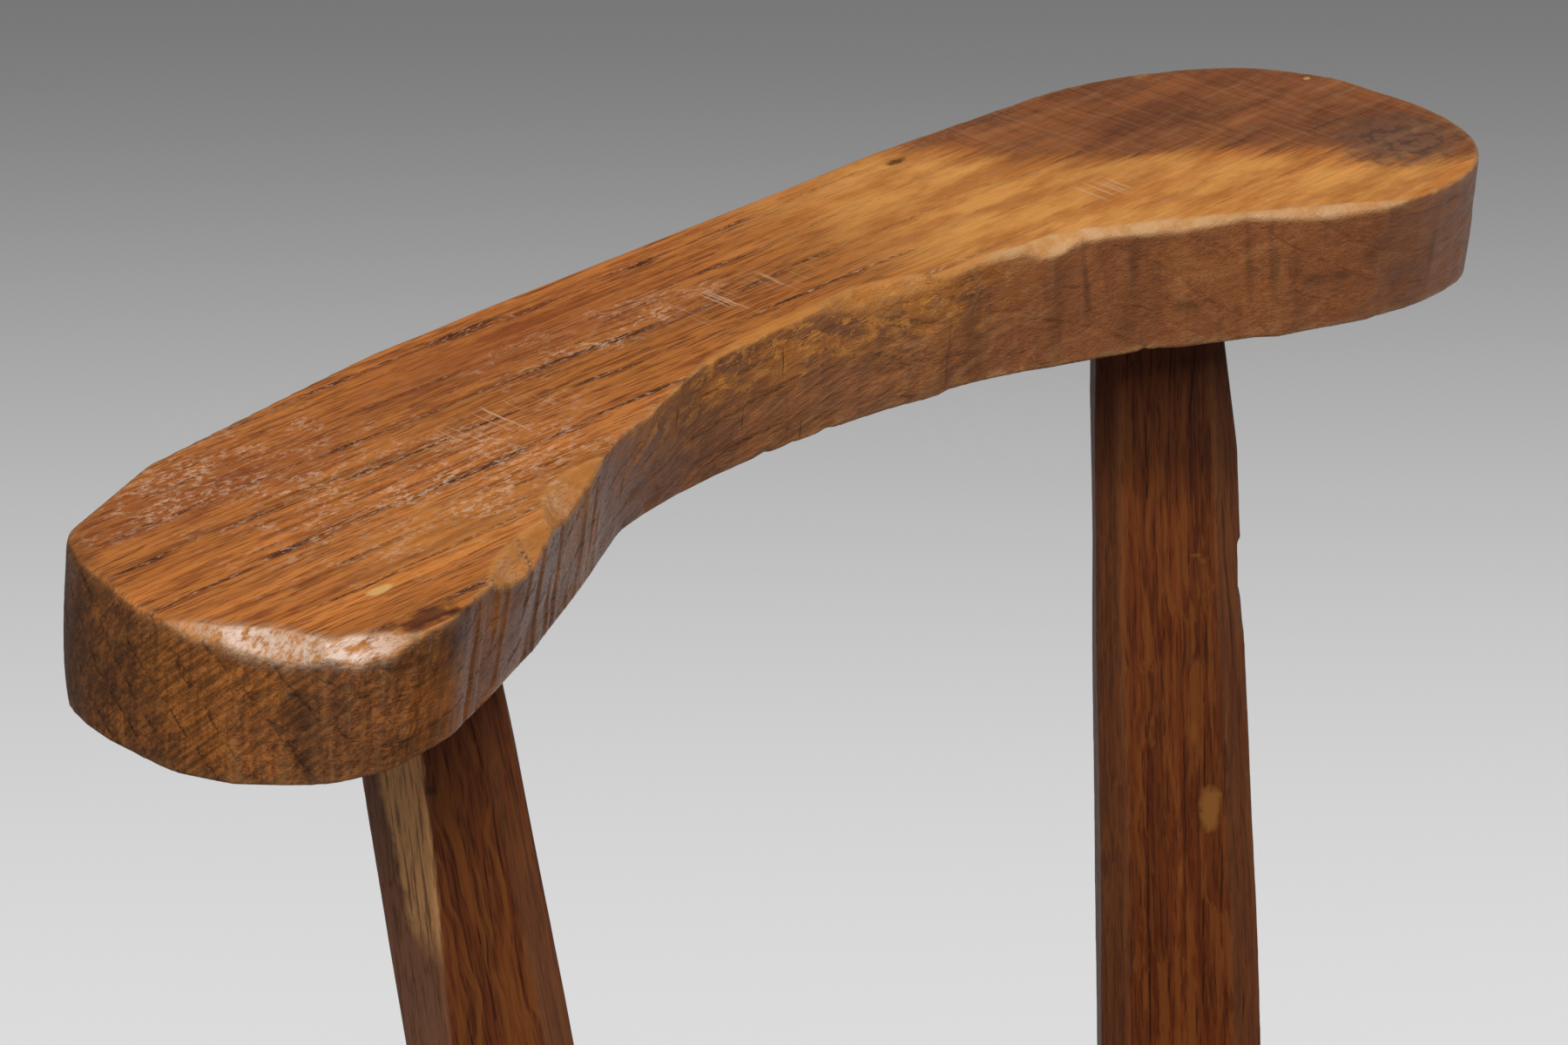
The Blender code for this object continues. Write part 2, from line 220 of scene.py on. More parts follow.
# Painted falloff of light: the colour and a painted glow, seen by the camera and in reflections, fade away
# from the viewer.
falloff_grey, painted_glow = [
    fade(tree, away, GRADIENT_START, GRADIENT_START + GRADIENT_LENGTH, near, far)
    for near, far in (PAINTED_FALLOFF_GREYS, PAINTED_SWEEP_GLOWS)
]
rays = tree.nodes.new("ShaderNodeLightPath").outputs
seen = rays["Is Camera Ray"]
for name in ("Is Glossy Ray", "Is Transmission Ray"):
    seen = maths(tree, "MAXIMUM", seen, rays[name])
tree.links.new(falloff_grey, floor_shader["Base Color"])
tree.links.new(times(tree, painted_glow, seen), floor_shader["Emission Color"])
floor_shader["Emission Strength"].default_value = 1.0
floor_shader["Roughness"].default_value = 0.9
floor_shader["Specular IOR Level"].default_value = 0.0
floor.data.materials.append(floor_finish)
print("floor", FLOOR_SIZE, "m wide")

# %% Light
LAMPS = (
    ("overhead", Vector((-0.85, -0.80, 3.0)), 2.0, 62.0),
    ("right", Vector((2.60, 0.10, 1.50)), 1.2, 5.0),
)
LAMP_TARGET = Vector((0.0, 0.15, 0.70))
WORLD_GREY = 0.09
for name, place, size, power in LAMPS:
    bpy.ops.object.light_add(type="AREA", location=place)
    lamp = bpy.context.active_object
    lamp.name = f"{name}_lamp"
    lamp.data.shape = "SQUARE"
    lamp.data.size = size
    lamp.data.energy = power
    lamp.visible_camera = False
    lamp.rotation_euler = (LAMP_TARGET - place).to_track_quat("-Z", "Y").to_euler()
world = bpy.data.worlds.new("studio")
bpy.context.scene.world = world
world.use_nodes = True
world.node_tree.nodes["Background"].inputs["Color"].default_value = (WORLD_GREY, WORLD_GREY, WORLD_GREY, 1.0)
bpy.context.scene.view_settings.view_transform = "Standard"
print(len(LAMPS), "lamps")

# %% [markdown]
# ## Tools for the bench
# Operators act on whatever is selected, so each step first puts everything down and takes up one piece. In
# edit mode, vertices, edges and faces are picked by their place. Modifiers are applied at once, so that the
# next step works on the real mesh.

# %% Bench helpers
def put_down():
    """Leaves edit mode and deselects everything."""
    if bpy.context.mode != "OBJECT":
        bpy.ops.object.mode_set(mode="OBJECT")
    bpy.ops.object.select_all(action="DESELECT")


def take_up(piece):
    put_down()
    piece.select_set(True)
    bpy.context.view_layer.objects.active = piece


def pick(kind, test):
    """Selects, in edit mode, the parts of the active piece whose points all pass a test."""
    bpy.ops.object.mode_set(mode="EDIT")
    bpy.ops.mesh.select_mode(type=kind)
    bpy.ops.mesh.select_all(action="DESELECT")
    shape = bmesh.from_edit_mesh(bpy.context.active_object.data)
    for item in {"VERT": shape.verts, "EDGE": shape.edges, "FACE": shape.faces}[kind]:
        points = [item.co] if kind == "VERT" else [vert.co for vert in item.verts]
        item.select_set(all(test(point) for point in points))
    bmesh.update_edit_mesh(bpy.context.active_object.data)


def apply_step(piece, kind, **settings):
    """Adds a modifier with those settings and applies it."""
    take_up(piece)
    step = piece.modifiers.new(kind.lower(), kind)
    for name, value in settings.items():
        setattr(step, name, value)
    bpy.ops.object.modifier_apply(modifier=step.name)


def cut_away(piece, cutter, solver="MANIFOLD"):
    """Cuts one closed shape out of a piece and throws the cutter away."""
    apply_step(piece, "BOOLEAN", object=cutter, operation="DIFFERENCE", solver=solver)
    bpy.data.objects.remove(cutter)


CUT_BLOCK = 480.0 * MM


def cut_flat(piece, place, facing):
    """Takes away what lies beyond a plane through a place, with a turned block."""
    facing = facing.normalized()
    put_down()
    bpy.ops.mesh.primitive_cube_add(
        size=CUT_BLOCK,
        location=place + facing * CUT_BLOCK / 2,
        rotation=facing.to_track_quat("Z", "Y").to_euler(),
    )
    cut_away(piece, bpy.context.active_object)


def join_on(piece, *others):
    """Joins other objects into a piece."""
    take_up(piece)
    for other in others:
        other.select_set(True)
    bpy.ops.object.join()


def even_out(piece, voxel):
    """Rebuilds a piece as one closed skin of small even faces, ready for carving."""
    apply_step(piece, "REMESH", mode="VOXEL", voxel_size=voxel, use_smooth_shade=True)


def points_of(piece):
    points = np.empty(len(piece.data.vertices) * 3, np.float32)
    piece.data.vertices.foreach_get("co", points)
    return points.reshape(-1, 3).astype(float)


def move_points(piece, points):
    piece.data.vertices.foreach_set("co", points.astype(np.float32).ravel())
    piece.data.update()


def normals_of(piece):
    normals = np.empty(len(piece.data.vertices) * 3, np.float32)
    piece.data.vertex_normals.foreach_get("vector", normals)
    return normals.reshape(-1, 3).astype(float)


def smooth_between(low, high, values):
    """0 below low, 1 above high and a smooth rise between them."""
    share = np.clip((values - low) / (high - low), 0.0, 1.0)
    return share * share * (3.0 - 2.0 * share)


def clouds(points, scale, seed):
    """Smooth noise from about -1 to 1 at each point, with its own scale along each axis."""
    scaled = points * np.array(scale) + seed
    return np.array([noise.noise(point) for point in scaled])


print("bench ready")

# %% [markdown]
# ## Planks
# The crest and the seat are planks cut to an outline with round corners. A circle of as many vertices as the
# outline has corners is added first. Each vertex is moved to its corner and rounded with a vertex bevel, the
# face is extruded to the plank's thickness, and the upper and lower arrises are eased with an edge bevel.
# This keeps the outline as a few corners with radii, as it would be drawn on the wood.

# %% Plank maker
ARC_LIFT = 2.0 - math.sqrt(2.0)
PICK_REACH = 0.01 * MM


def bevel_reach(before, corner, after, radius):
    """How far along both edges a vertex bevel starts, so that its arc lies as deep as one of that radius."""
    half_angle = (before - corner).angle(after - corner) / 2
    depth = radius * (1 / math.sin(half_angle) - 1)
    return depth / (ARC_LIFT * math.cos(half_angle))


def add_plank(name, corners, low, high, top_ease, bottom_ease):
    """A plank between two heights. Each corner of its outline is (x, y, radius, steps)."""
    put_down()
    bpy.ops.mesh.primitive_circle_add(vertices=len(corners), fill_type="NGON")
    plank = bpy.context.active_object
    plank.name = name
    places = [Vector((x, y, low)) for x, y, radius, steps in corners]
    for vert, place in zip(plank.data.vertices, places):
        vert.co = place
    for index, (x, y, radius, steps) in enumerate(corners):
        corner = places[index]
        reach = bevel_reach(places[index - 1], corner, places[(index + 1) % len(places)], radius)
        pick("VERT", lambda point: (point - corner).length < PICK_REACH)
        bpy.ops.mesh.bevel(offset=reach, offset_type="OFFSET", segments=steps, affect="VERTICES")
    bpy.ops.mesh.select_all(action="SELECT")
    bpy.ops.mesh.extrude_region_move(TRANSFORM_OT_translate={"value": (0.0, 0.0, high - low)})
    bpy.ops.mesh.select_all(action="SELECT")
    bpy.ops.mesh.normals_make_consistent(inside=False)
    for level, ease in ((high, top_ease), (low, bottom_ease)):
        pick("EDGE", lambda point: abs(point.z - level) < PICK_REACH)
        bpy.ops.mesh.bevel(offset=ease, segments=2, affect="EDGES")
    put_down()
    return plank


print("plank maker ready")

# %% [markdown]
# ## Crest outline
# Seen from above, the crest has a nearly straight back, two round ends that reach forward, and a long
# hollow in front for the sitter's back. The ends are not alike: the right one is round, and the left one was
# trimmed in straight runs. Corners are given in millimetres from the middle and behind the post line.

# %% Crest plank
FLANK_ANGLE = math.radians(28.0)
HOLLOW_RADIUS = 225.0
CREST_WAIST = 68.7
half_crest = crest_high.x / MM
hollow_y = (CREST_BACK_REACH / MM) - CREST_WAIST + HOLLOW_RADIUS * (1 / math.cos(FLANK_ANGLE) - 1)
tip_y = hollow_y - half_crest * math.tan(FLANK_ANGLE)
LEFT_TIP_CORNERS = ((-258.0, -14.0, 50.0, 6), (-236.0, -57.0, 25.0, 6), (-207.2, -72.6, 38.0, 10))
CREST_CORNERS = (
    (108.0, 76.5, 110.0, 4),
    (66.0, 76.2, 400.0, 2),
    (-258.0, 76.0, 30.0, 4),
    *LEFT_TIP_CORNERS,
    (0.0, hollow_y, HOLLOW_RADIUS, 12),
    (half_crest, tip_y, 46.5, 12),
    (half_crest, 30.0, 60.0, 8),
    (206.5, 70.7, 110.0, 8),
)
crest = add_plank(
    "hewn_crest",
    [(x * MM, post_line + y * MM, radius * MM, steps) for x, y, radius, steps in CREST_CORNERS],
    crest_low.z,
    crest_high.z,
    top_ease=1.3 * MM,
    bottom_ease=0.9 * MM,
)
print("crest plank", [round(size / MM, 1) for size in crest.dimensions], "mm")

# %% [markdown]
# ## Crest hewing
# The front arris was pared away with a gouge in long overlapping scallops. Each one is a shallow bite of a
# large ball. The back was tapered towards the left end and its corner was struck off, with flat cuts that
# are deeper at the top than at the bottom, and turned blocks take them away. Small nicks come last. The
# plank is then rebuilt as one skin of small even faces, and the steps that this leaves are rubbed out.

# %% Scallops along the front arris
def crest_front(x):
    """The y of the front, before it was hewn, at a distance x from the middle. Both are in millimetres."""
    straight_from = HOLLOW_RADIUS * math.sin(FLANK_ANGLE)
    centre = CREST_BACK_REACH / MM - CREST_WAIST - HOLLOW_RADIUS
    curved = centre + np.sqrt(HOLLOW_RADIUS**2 - np.minimum(np.abs(x), straight_from) ** 2)
    front = np.where(np.abs(x) < straight_from, curved, hollow_y - np.abs(x) * math.tan(FLANK_ANGLE))
    for (x_1, y_1, *_), (x_2, y_2, *_) in zip(LEFT_TIP_CORNERS, LEFT_TIP_CORNERS[1:]):
        front = np.maximum(front, y_1 + (x - x_1) * (y_2 - y_1) / (x_2 - x_1))
    return front


FRONT_SCALLOPS = (
    (-161.0, 5.2, 60.0, 1.0),
    (-128.0, 5.2, 60.0, 1.0),
    (-14.0, 1.4, 200.0, 1.5),
    (34.0, 2.6, 110.0, 0.5),
    (92.0, 3.4, 26.0, 1.0),
    (84.0, 1.8, 300.0, 1.0),
    (128.0, 1.8, 300.0, 1.0),
    (172.0, 1.8, 300.0, 1.0),
)
TIP_SCALLOPS = (
    (-252.0, 2.2, 80.0, 1.0),
    (-243.0, 4.2, 80.0, 1.0),
    (-231.0, 4.4, 80.0, 1.0),
    (-217.0, 1.6, 60.0, 1.0),
)
gouge_balls = {"front": [], "tip": []}
for row, bites in (("front", FRONT_SCALLOPS), ("tip", TIP_SCALLOPS)):
    for station, depth, radius, lift in bites:
        slope = float(crest_front(station + 1.0) - crest_front(station - 1.0)) / 2.0
        facing = (Vector((slope, -1.0, 0.0)).normalized() + Vector((0.0, 0.0, lift))).normalized()
        arris = Vector((station * MM, post_line + float(crest_front(station)) * MM, crest_high.z))
        centre = arris + facing * (radius - depth) * MM
        put_down()
        bpy.ops.mesh.primitive_uv_sphere_add(
            segments=128, ring_count=64, radius=radius * MM, location=centre,
        )
        cut_away(crest, bpy.context.active_object)
        gouge_balls[row].append((centre, radius * MM))
    print(row, "scallops", len(bites))

# %% Flat cuts at the left rear
FLAT_CUTS = (
    ((-156.0, 69.3), Vector((-0.122, 0.992, 0.10))),
    ((-221.0, 55.3), Vector((-0.377, 0.926, 0.07))),
    ((-242.9, 45.0), Vector((-0.700, 0.714, 0.05))),
    ((-248.8, 33.8), Vector((-0.905, 0.425, 0.17))),
    ((-255.5, 5.6), Vector((-0.978, 0.210, 0.18))),
)
for (x, y), facing in FLAT_CUTS:
    cut_flat(crest, Vector((x * MM, post_line + y * MM, crest_high.z)), facing)
print("left rear cut flat in", len(FLAT_CUTS), "places")

# %% Nicks in the lower arris
NICKS = ((-15.8, 1.1, 8.0), (-4.2, 0.9, 6.0), (9.2, 1.0, 9.0), (-62.0, 1.0, 7.0), (120.0, 1.0, 8.0))
NICK_TILT = math.radians(40.0)
NICK_TURN = 0.3
for station, depth, length in NICKS:
    arris = Vector((station * MM, post_line + float(crest_front(station)) * MM, crest_low.z))
    put_down()
    bpy.ops.mesh.primitive_cube_add(size=1.0, location=arris, rotation=(NICK_TILT, 0.0, NICK_TURN))
    bpy.context.active_object.scale = (length * MM, 2 * depth * MM, 2 * depth * MM)
    cut_away(crest, bpy.context.active_object)
CREST_VOXEL = 1.0 * MM
even_out(crest, CREST_VOXEL)
apply_step(crest, "SMOOTH", factor=0.5, iterations=2)
print("crest faces", len(crest.data.polygons))

# %% [markdown]
# ## Crest carving
# No face of the real crest is true. The front was split into facets that meet in upright creases, the left
# flank leans inwards to its foot, and the left end leans outwards and is a little thicker. The lower arris
# of the right end and the rear foot of the left end are tucked under. These are small moves of many points,
# so they are carved in code: a list of stations along the crest says how far the upper and the lower arris
# move back, or forward where the number is negative, and straight lines between the stations leave the
# creases.

# %% Carve the crest
FRONT_STATIONS = (
    (-245.0, 0.0, 0.0),
    (-238.0, 0.0, 1.0),
    (-230.0, 0.0, 3.3),
    (-222.0, 0.0, 5.0),
    (-215.0, 0.0, 7.0),
    (-207.0, 0.5, 9.0),
    (-190.0, 1.4, 8.6),
    (-175.0, -2.5, 6.4),
    (-161.0, -5.4, 5.3),
    (-148.0, -4.8, 3.8),
    (-134.0, -4.0, 3.6),
    (-121.0, -4.2, 3.1),
    (-105.0, -5.0, 3.0),
    (-93.0, -5.0, 3.6),
    (-79.0, -8.0, 5.0),
    (-62.0, -6.2, 3.0),
    (-43.0, -3.4, 0.8),
    (-29.0, -4.2, -0.6),
    (-4.0, -3.4, -3.0),
    (18.0, -2.0, -4.2),
    (29.0, -2.6, -4.6),
    (40.0, -4.5, -5.2),
    (48.0, -6.8, -5.8),
    (52.0, -7.6, -5.8),
    (58.0, -7.0, -3.6),
    (66.0, -5.0, -3.4),
    (76.0, -2.6, -3.2),
    (92.0, -1.5, -3.0),
    (106.0, 4.0, -1.4),
    (126.0, 2.9, 0.5),
    (131.0, 2.2, -1.4),
    (153.0, 1.9, -1.4),
    (158.0, 0.6, -3.0),
    (168.0, -1.6, -1.5),
    (188.0, -4.5, 1.0),
    (192.0, -4.2, 2.5),
    (220.0, -1.0, 5.0),
    (238.0, -0.5, 6.0),
    (250.0, 0.0, 4.0),
)
LEFT_LEANS = (
    (-58.0, 0.5), (-46.0, 6.0), (-35.0, 8.0), (-22.0, 5.5), (-8.0, 2.5), (0.0, 2.0), (20.0, 2.2),
    (33.0, 0.5), (42.0, 0.0),
)
LEFT_TUCKS = ((10.0, 0.0), (25.0, 2.0), (40.0, 3.6))
RIGHT_TUCKS = ((-62.0, 6.0), (-45.0, 5.0), (-20.0, 2.5), (10.0, 0.0))
LEFT_SAG = 2.0
FRONT_REACH = 45.0
GOUGE_BAND = (0.4 * MM, 1.1 * MM)
stations = np.array(FRONT_STATIONS)
points = points_of(crest)
pared = {}
for row, balls in gouge_balls.items():
    pared[row] = np.zeros(len(points))
    for centre, radius in balls:
        from_ball = np.abs(np.linalg.norm(points - np.array(centre), axis=1) - radius)
        pared[row] = np.maximum(pared[row], 1.0 - smooth_between(*GOUGE_BAND, from_ball))
along = points[:, 0] / MM
behind = (points[:, 1] - post_line) / MM
behind_front = behind - crest_front(along)
height_share = np.clip((points[:, 2] - crest_low.z) / (crest_high.z - crest_low.z), 0.0, 1.0)
top_shift = np.interp(along, stations[:, 0], stations[:, 1])
foot_shift = np.interp(along, stations[:, 0], stations[:, 2])
front_share = 1.0 - smooth_between(0.0, FRONT_REACH, behind_front)
points[:, 1] += front_share * (foot_shift + (top_shift - foot_shift) * height_share) * MM

at_left = 1.0 - smooth_between(-250.0, -226.0, along)
at_right = smooth_between(230.0, 254.0, along)
lean = at_left * np.interp(behind, *np.array(LEFT_LEANS).T) * (1.0 - height_share)
lean += at_right * np.interp(behind, *np.array(RIGHT_TUCKS).T) * (1.0 - height_share) ** 3
lean -= at_left * np.interp(behind, *np.array(LEFT_TUCKS).T) * (1.0 - height_share) ** 5
points[:, 0] = np.maximum(points[:, 0] - lean * MM, crest_low.x)
sag = LEFT_SAG * (1.0 - smooth_between(-258.0, -215.0, along)) * smooth_between(-40.0, 5.0, behind)
points[:, 2] -= sag * (1.0 - height_share) * MM
move_points(crest, points)
print("carved", len(points), "points, of which", int(sum(map(sum, pared.values()))), "by the gouge")


# %% [markdown]
# ## Tool marks
# An axe and a drawknife leave a face faintly rippled along the grain. The ripple is cut inwards only, so the
# piece keeps its size. The same helper serves every piece. Others break shallow flakes out of a face, rub an
# arris round, or measure how far each point stands out from its neighbours: arrises stand out, and that is
# where wood wears pale. On the crest, the arris of the left half was rubbed round by hands, the front was
# torn, most of all in the hollow and on the left flank, and the top is faintly combed along the grain.

# %% Surface helpers
FLAKE_EDGE = (0.05, 0.22)
WORN_BULGE = 0.22
WORN_GAIN = 2.2


def ripple(piece, depth, scale, seed):
    """Cuts each point inwards by smooth noise, up to a depth."""
    points = points_of(piece)
    bite = np.clip(0.5 + 0.6 * clouds(points, scale, seed), 0.0, 1.0)
    move_points(piece, points - normals_of(piece) * (bite * depth)[:, None])


def neighbour_mean(piece, values):
    """The mean of a value over the points that share an edge with each point."""
    ends = np.empty(len(piece.data.edges) * 2, np.int64)
    piece.data.edges.foreach_get("vertices", ends)
    first, second = ends.reshape(-1, 2).T
    total = np.zeros_like(values)
    np.add.at(total, first, values[second])
    np.add.at(total, second, values[first])
    count = np.bincount(ends, minlength=len(values)).astype(float)
    return total / count.reshape((-1,) + (1,) * (values.ndim - 1))


def write_attribute(piece, name, values):
    kind = "FLOAT" if values.ndim == 1 else "FLOAT_VECTOR"
    made = piece.data.attributes.new(name, kind, "POINT")
    made.data.foreach_set("value" if kind == "FLOAT" else "vector", values.astype(np.float32).ravel())


def mark_worn(piece, voxel, spread=4):
    """Writes how far each point stands out, from 0 on flats and in hollows to 1 on arrises."""
    points = points_of(piece)
    out = -np.einsum("ij,ij->i", neighbour_mean(piece, points) - points, normals_of(piece))
    worn = np.clip(out / (WORN_BULGE * voxel), 0.0, 1.0)
    for step in range(spread):
        worn = 0.5 * worn + 0.5 * neighbour_mean(piece, worn)
    write_attribute(piece, "worn", np.clip(WORN_GAIN * worn, 0.0, 1.0))


def tear(piece, share, depth, scale, seed):
    """Breaks shallow flakes out of a face where its share is high. Each flake has a steep edge."""
    points = points_of(piece)
    flake = smooth_between(*FLAKE_EDGE, clouds(points, scale, seed))
    move_points(piece, points - normals_of(piece) * (flake * share * depth)[:, None])


def rub_down(piece, share, passes):
    """Rounds a piece off where its share is high, as long handling does."""
    points = points_of(piece)
    for step in range(passes):
        points += share[:, None] * (neighbour_mean(piece, points) - points)
    move_points(piece, points)


print("surface helpers ready")

# %% Work the crest's surface
left_arris = (1.0 - smooth_between(-90.0, -60.0, along)) * smooth_between(-22.0, -8.0, behind)
rub_down(crest, left_arris * smooth_between(0.70, 0.90, height_share), passes=7)
normals = normals_of(crest)
upright = 1.0 - smooth_between(0.3, 0.7, np.abs(normals[:, 2]))
in_front = smooth_between(0.3, 0.6, -normals[:, 1])
in_hollow = in_front * (1.0 - smooth_between(70.0, 110.0, np.abs(along)))
on_flank = upright * in_front * (1.0 - smooth_between(-115.0, -95.0, along))
on_top = smooth_between(0.8, 0.95, normals[:, 2])
tear(crest, upright * in_front, depth=0.2 * MM, scale=(55.0, 55.0, 110.0), seed=7.3)
tear(crest, upright * in_hollow, depth=0.4 * MM, scale=(90.0, 90.0, 120.0), seed=17.9)
tear(crest, on_flank, depth=0.5 * MM, scale=(230.0, 60.0, 12.0), seed=23.1)
tear(crest, on_top, depth=0.25 * MM, scale=(14.0, 130.0, 20.0), seed=29.7)
ripple(crest, depth=0.35 * MM, scale=(9.0, 40.0, 40.0), seed=3.1)
mark_worn(crest, CREST_VOXEL)
write_attribute(crest, "pared", np.maximum(pared["front"], pared["tip"]))
GLEAM_SPREAD = 6
for step in range(GLEAM_SPREAD):
    pared["tip"] = 0.5 * pared["tip"] + 0.5 * neighbour_mean(crest, pared["tip"])
write_attribute(crest, "tip_gleam", pared["tip"])
write_attribute(crest, "level", smooth_between(0.35, 0.9, normals[:, 2]))
print("crest rippled, torn and worn")


# %% [markdown]
# ## Grain
# Wood has its figure inside, and each cut face shows a slice of it. So every piece carries, point by point,
# a place in its own log: the first number runs along the grain, the second along the rings and the third
# across them. The finish then works in that space, and rings, pores and rays turn round corners as they
# should.

# %% Grain helper
def lay_grain(piece, origin, along, across_rings, log_place):
    """Writes each point's place in the log that the piece was cut from."""
    along = Vector(along).normalized()
    across_rings = Vector(across_rings)
    across_rings = (across_rings - along * across_rings.dot(along)).normalized()
    with_rings = across_rings.cross(along)
    axes = np.array([along, with_rings, across_rings])
    write_attribute(piece, "grain", (points_of(piece) - np.array(origin)) @ axes.T + np.array(log_place))


CREST_THINNING = 0.55
lay_grain(
    crest, crest_mark, along=(1.0, 0.012, 0.0), across_rings=(0.0, -0.64, 0.77), log_place=(0.0, 0.0, 0.0),
)
apply_step(crest, "DECIMATE", ratio=CREST_THINNING)
print("crest thinned to", len(crest.data.polygons), "faces")

# %% [markdown]
# ## Hewn sticks
# Posts and legs are square sticks with their corners taken off. Each starts as a circle of four vertices
# whose corners are chamfered with a vertex bevel. It is then drawn out ring by ring along the stick's axis,
# and each ring is resized and turned a little, because hewn faces are never quite flat. Round tenons are
# joined on and the whole is rebuilt as one skin.

# %% Stick maker
LEVEL_REACH = 0.1 * MM


def points_at(node, level):
    """The points of a solid of the frame that lie at a height."""
    points = np.array([vert.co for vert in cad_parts[node].data.vertices])
    return points[np.abs(points[:, 2] - level) < LEVEL_REACH]


def stick_ends(node):
    """The middles of the lowest and highest rings of a stick in the frame."""
    heights = [vert.co.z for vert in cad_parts[node].data.vertices]
    rings = [points_at(node, level) for level in (min(heights), max(heights))]
    return [Vector((ring.min(axis=0) + ring.max(axis=0)) / 2) for ring in rings]


def on_axis(ends, height):
    low, high = ends
    return low + (high - low) * (height - low.z) / (high.z - low.z)


def draw_out(start, places):
    """Extrudes the selected face through a row of places, given the one that it starts from."""
    for place in places:
        bpy.ops.mesh.extrude_region_move(TRANSFORM_OT_translate={"value": place - start})
        start = place


def add_tenon(ends, low, high, radius):
    """A round pin along a stick's axis, with level ends."""
    put_down()
    foot = on_axis(ends, low)
    bpy.ops.mesh.primitive_circle_add(vertices=40, radius=radius, fill_type="NGON", location=foot)
    pin = bpy.context.active_object
    bpy.ops.object.transform_apply(location=True, rotation=True, scale=True)
    bpy.ops.object.mode_set(mode="EDIT")
    bpy.ops.mesh.select_all(action="SELECT")
    draw_out(foot, [on_axis(ends, high)])
    bpy.ops.mesh.select_all(action="SELECT")
    bpy.ops.mesh.normals_make_consistent(inside=False)
    put_down()
    return pin


def tapered_rings(low, low_width, high, high_width, steps):
    """Rings of (height, width) in even steps from a low one to a high one."""
    rings = []
    for step in range(steps + 1):
        share = step / steps
        rings.append((low + (high - low) * share, low_width + (high_width - low_width) * share))
    return rings


CORNER_SHARE = 0.17
STICK_TWIST = math.radians(1.6)
TWIST_STEP = 2.1


def add_stick(name, ends, rings, turn, seed, corner_steps):
    """A hewn stick through rings of (height, width), lowest first. Its corners are cut off in steps."""
    height, width = rings[0]
    put_down()
    bpy.ops.mesh.primitive_circle_add(
        vertices=4, radius=width / math.sqrt(2.0), fill_type="NGON",
        location=on_axis(ends, height), rotation=(0.0, 0.0, turn + math.pi / 4),
    )
    stick = bpy.context.active_object
    stick.name = name
    bpy.ops.object.transform_apply(location=True, rotation=True, scale=True)
    bpy.ops.object.mode_set(mode="EDIT")
    bpy.ops.mesh.select_all(action="SELECT")
    bpy.ops.mesh.bevel(
        offset=CORNER_SHARE * width, offset_type="OFFSET", segments=corner_steps, affect="VERTICES",
    )
    bpy.ops.mesh.select_all(action="SELECT")
    for index, (next_height, next_width) in enumerate(rings[1:]):
        place = on_axis(ends, next_height)
        draw_out(on_axis(ends, height), [place])
        grow = next_width / width
        bpy.ops.transform.resize(value=(grow, grow, 1.0), center_override=place)
        turn_by = STICK_TWIST * math.sin(TWIST_STEP * index + seed)
        bpy.ops.transform.rotate(value=turn_by, orient_axis="Z", center_override=place)
        height, width = next_height, next_width
    bpy.ops.mesh.select_all(action="SELECT")
    bpy.ops.mesh.normals_make_consistent(inside=False)
    put_down()
    return stick


print("stick maker ready")

# %% [markdown]
# ## Back posts
# The posts carry the crest. They are stout at the seat, necked in just under the crest, and stand with one
# corner forward, the left one turned a little further. Near the crest one corner of each was pared to a
# broad flat, and the right one has a nick. A round tenon goes up into the crest, and another goes down
# through the seat, where a wedge spreads it from below.

# %% Back posts
SEAT_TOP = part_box("seat_board_left")[1].z
SEAT_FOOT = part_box("seat_board_left")[0].z
SEAT_TENON_RADIUS = 16.8 * MM
CREST_TENON_RADIUS = 14.8 * MM
FIT_GAP = 0.3 * MM
POST_FOOT_WIDTHS = {"left": 55.0 * MM, "right": 55.5 * MM}
POST_NECK_LENGTH = 38.0 * MM
POST_TOP_CUT = 3.0 * MM
POST_NECK_WIDTHS = {"left": 45.2 * MM, "right": 46.0 * MM}
POST_DRIFTS = {"left": Vector((0.2, -0.2, 0.0)) * MM, "right": Vector((-0.32, 0.32, 0.0)) * MM}
POST_TURNS = {"left": math.radians(53.0), "right": math.radians(45.0)}
POST_BARK_SIDES = {"left": (-1.0, 0.0, 0.0), "right": (0.35, 1.0, 0.0)}
VIEW_RIGHT = Vector((math.cos(CAMERA_TURN), math.sin(CAMERA_TURN), 0.0))
VIEW_FRONT = Vector((math.sin(CAMERA_TURN), -math.cos(CAMERA_TURN), 0.0))
POST_FLATS = {"left": (16.0 * MM, 0.07, Vector((-1.0, 0.0, 0.0))), "right": (18.6 * MM, 0.102, VIEW_RIGHT)}
POST_NICK_HEIGHT = 658.5 * MM
POST_NICK_REACH = 27.4 * MM
POST_NICK_LEAN = math.radians(-2.5)
POST_NICK_BLOCK = (10.0 * MM, 60.0 * MM, 30.0 * MM)
POST_VOXEL = 1.1 * MM
POST_RINGS = 5
CORNER_BAND = (14.0, 26.0)
CORNER_SHEEN_FADE = (640.0 * MM, 730.0 * MM)
FLAT_BAND = (1.0 * MM, 1.8 * MM)
TENON_OVERLAP = 5.0 * MM
KERF_OVERRUN = 3.0 * MM
SIDES = {"left": -1.0, "right": 1.0}
POST_LOG_PLACES = {side: (0.31 + 0.2 * sign, 0.02 * sign, 0.05) for side, sign in SIDES.items()}


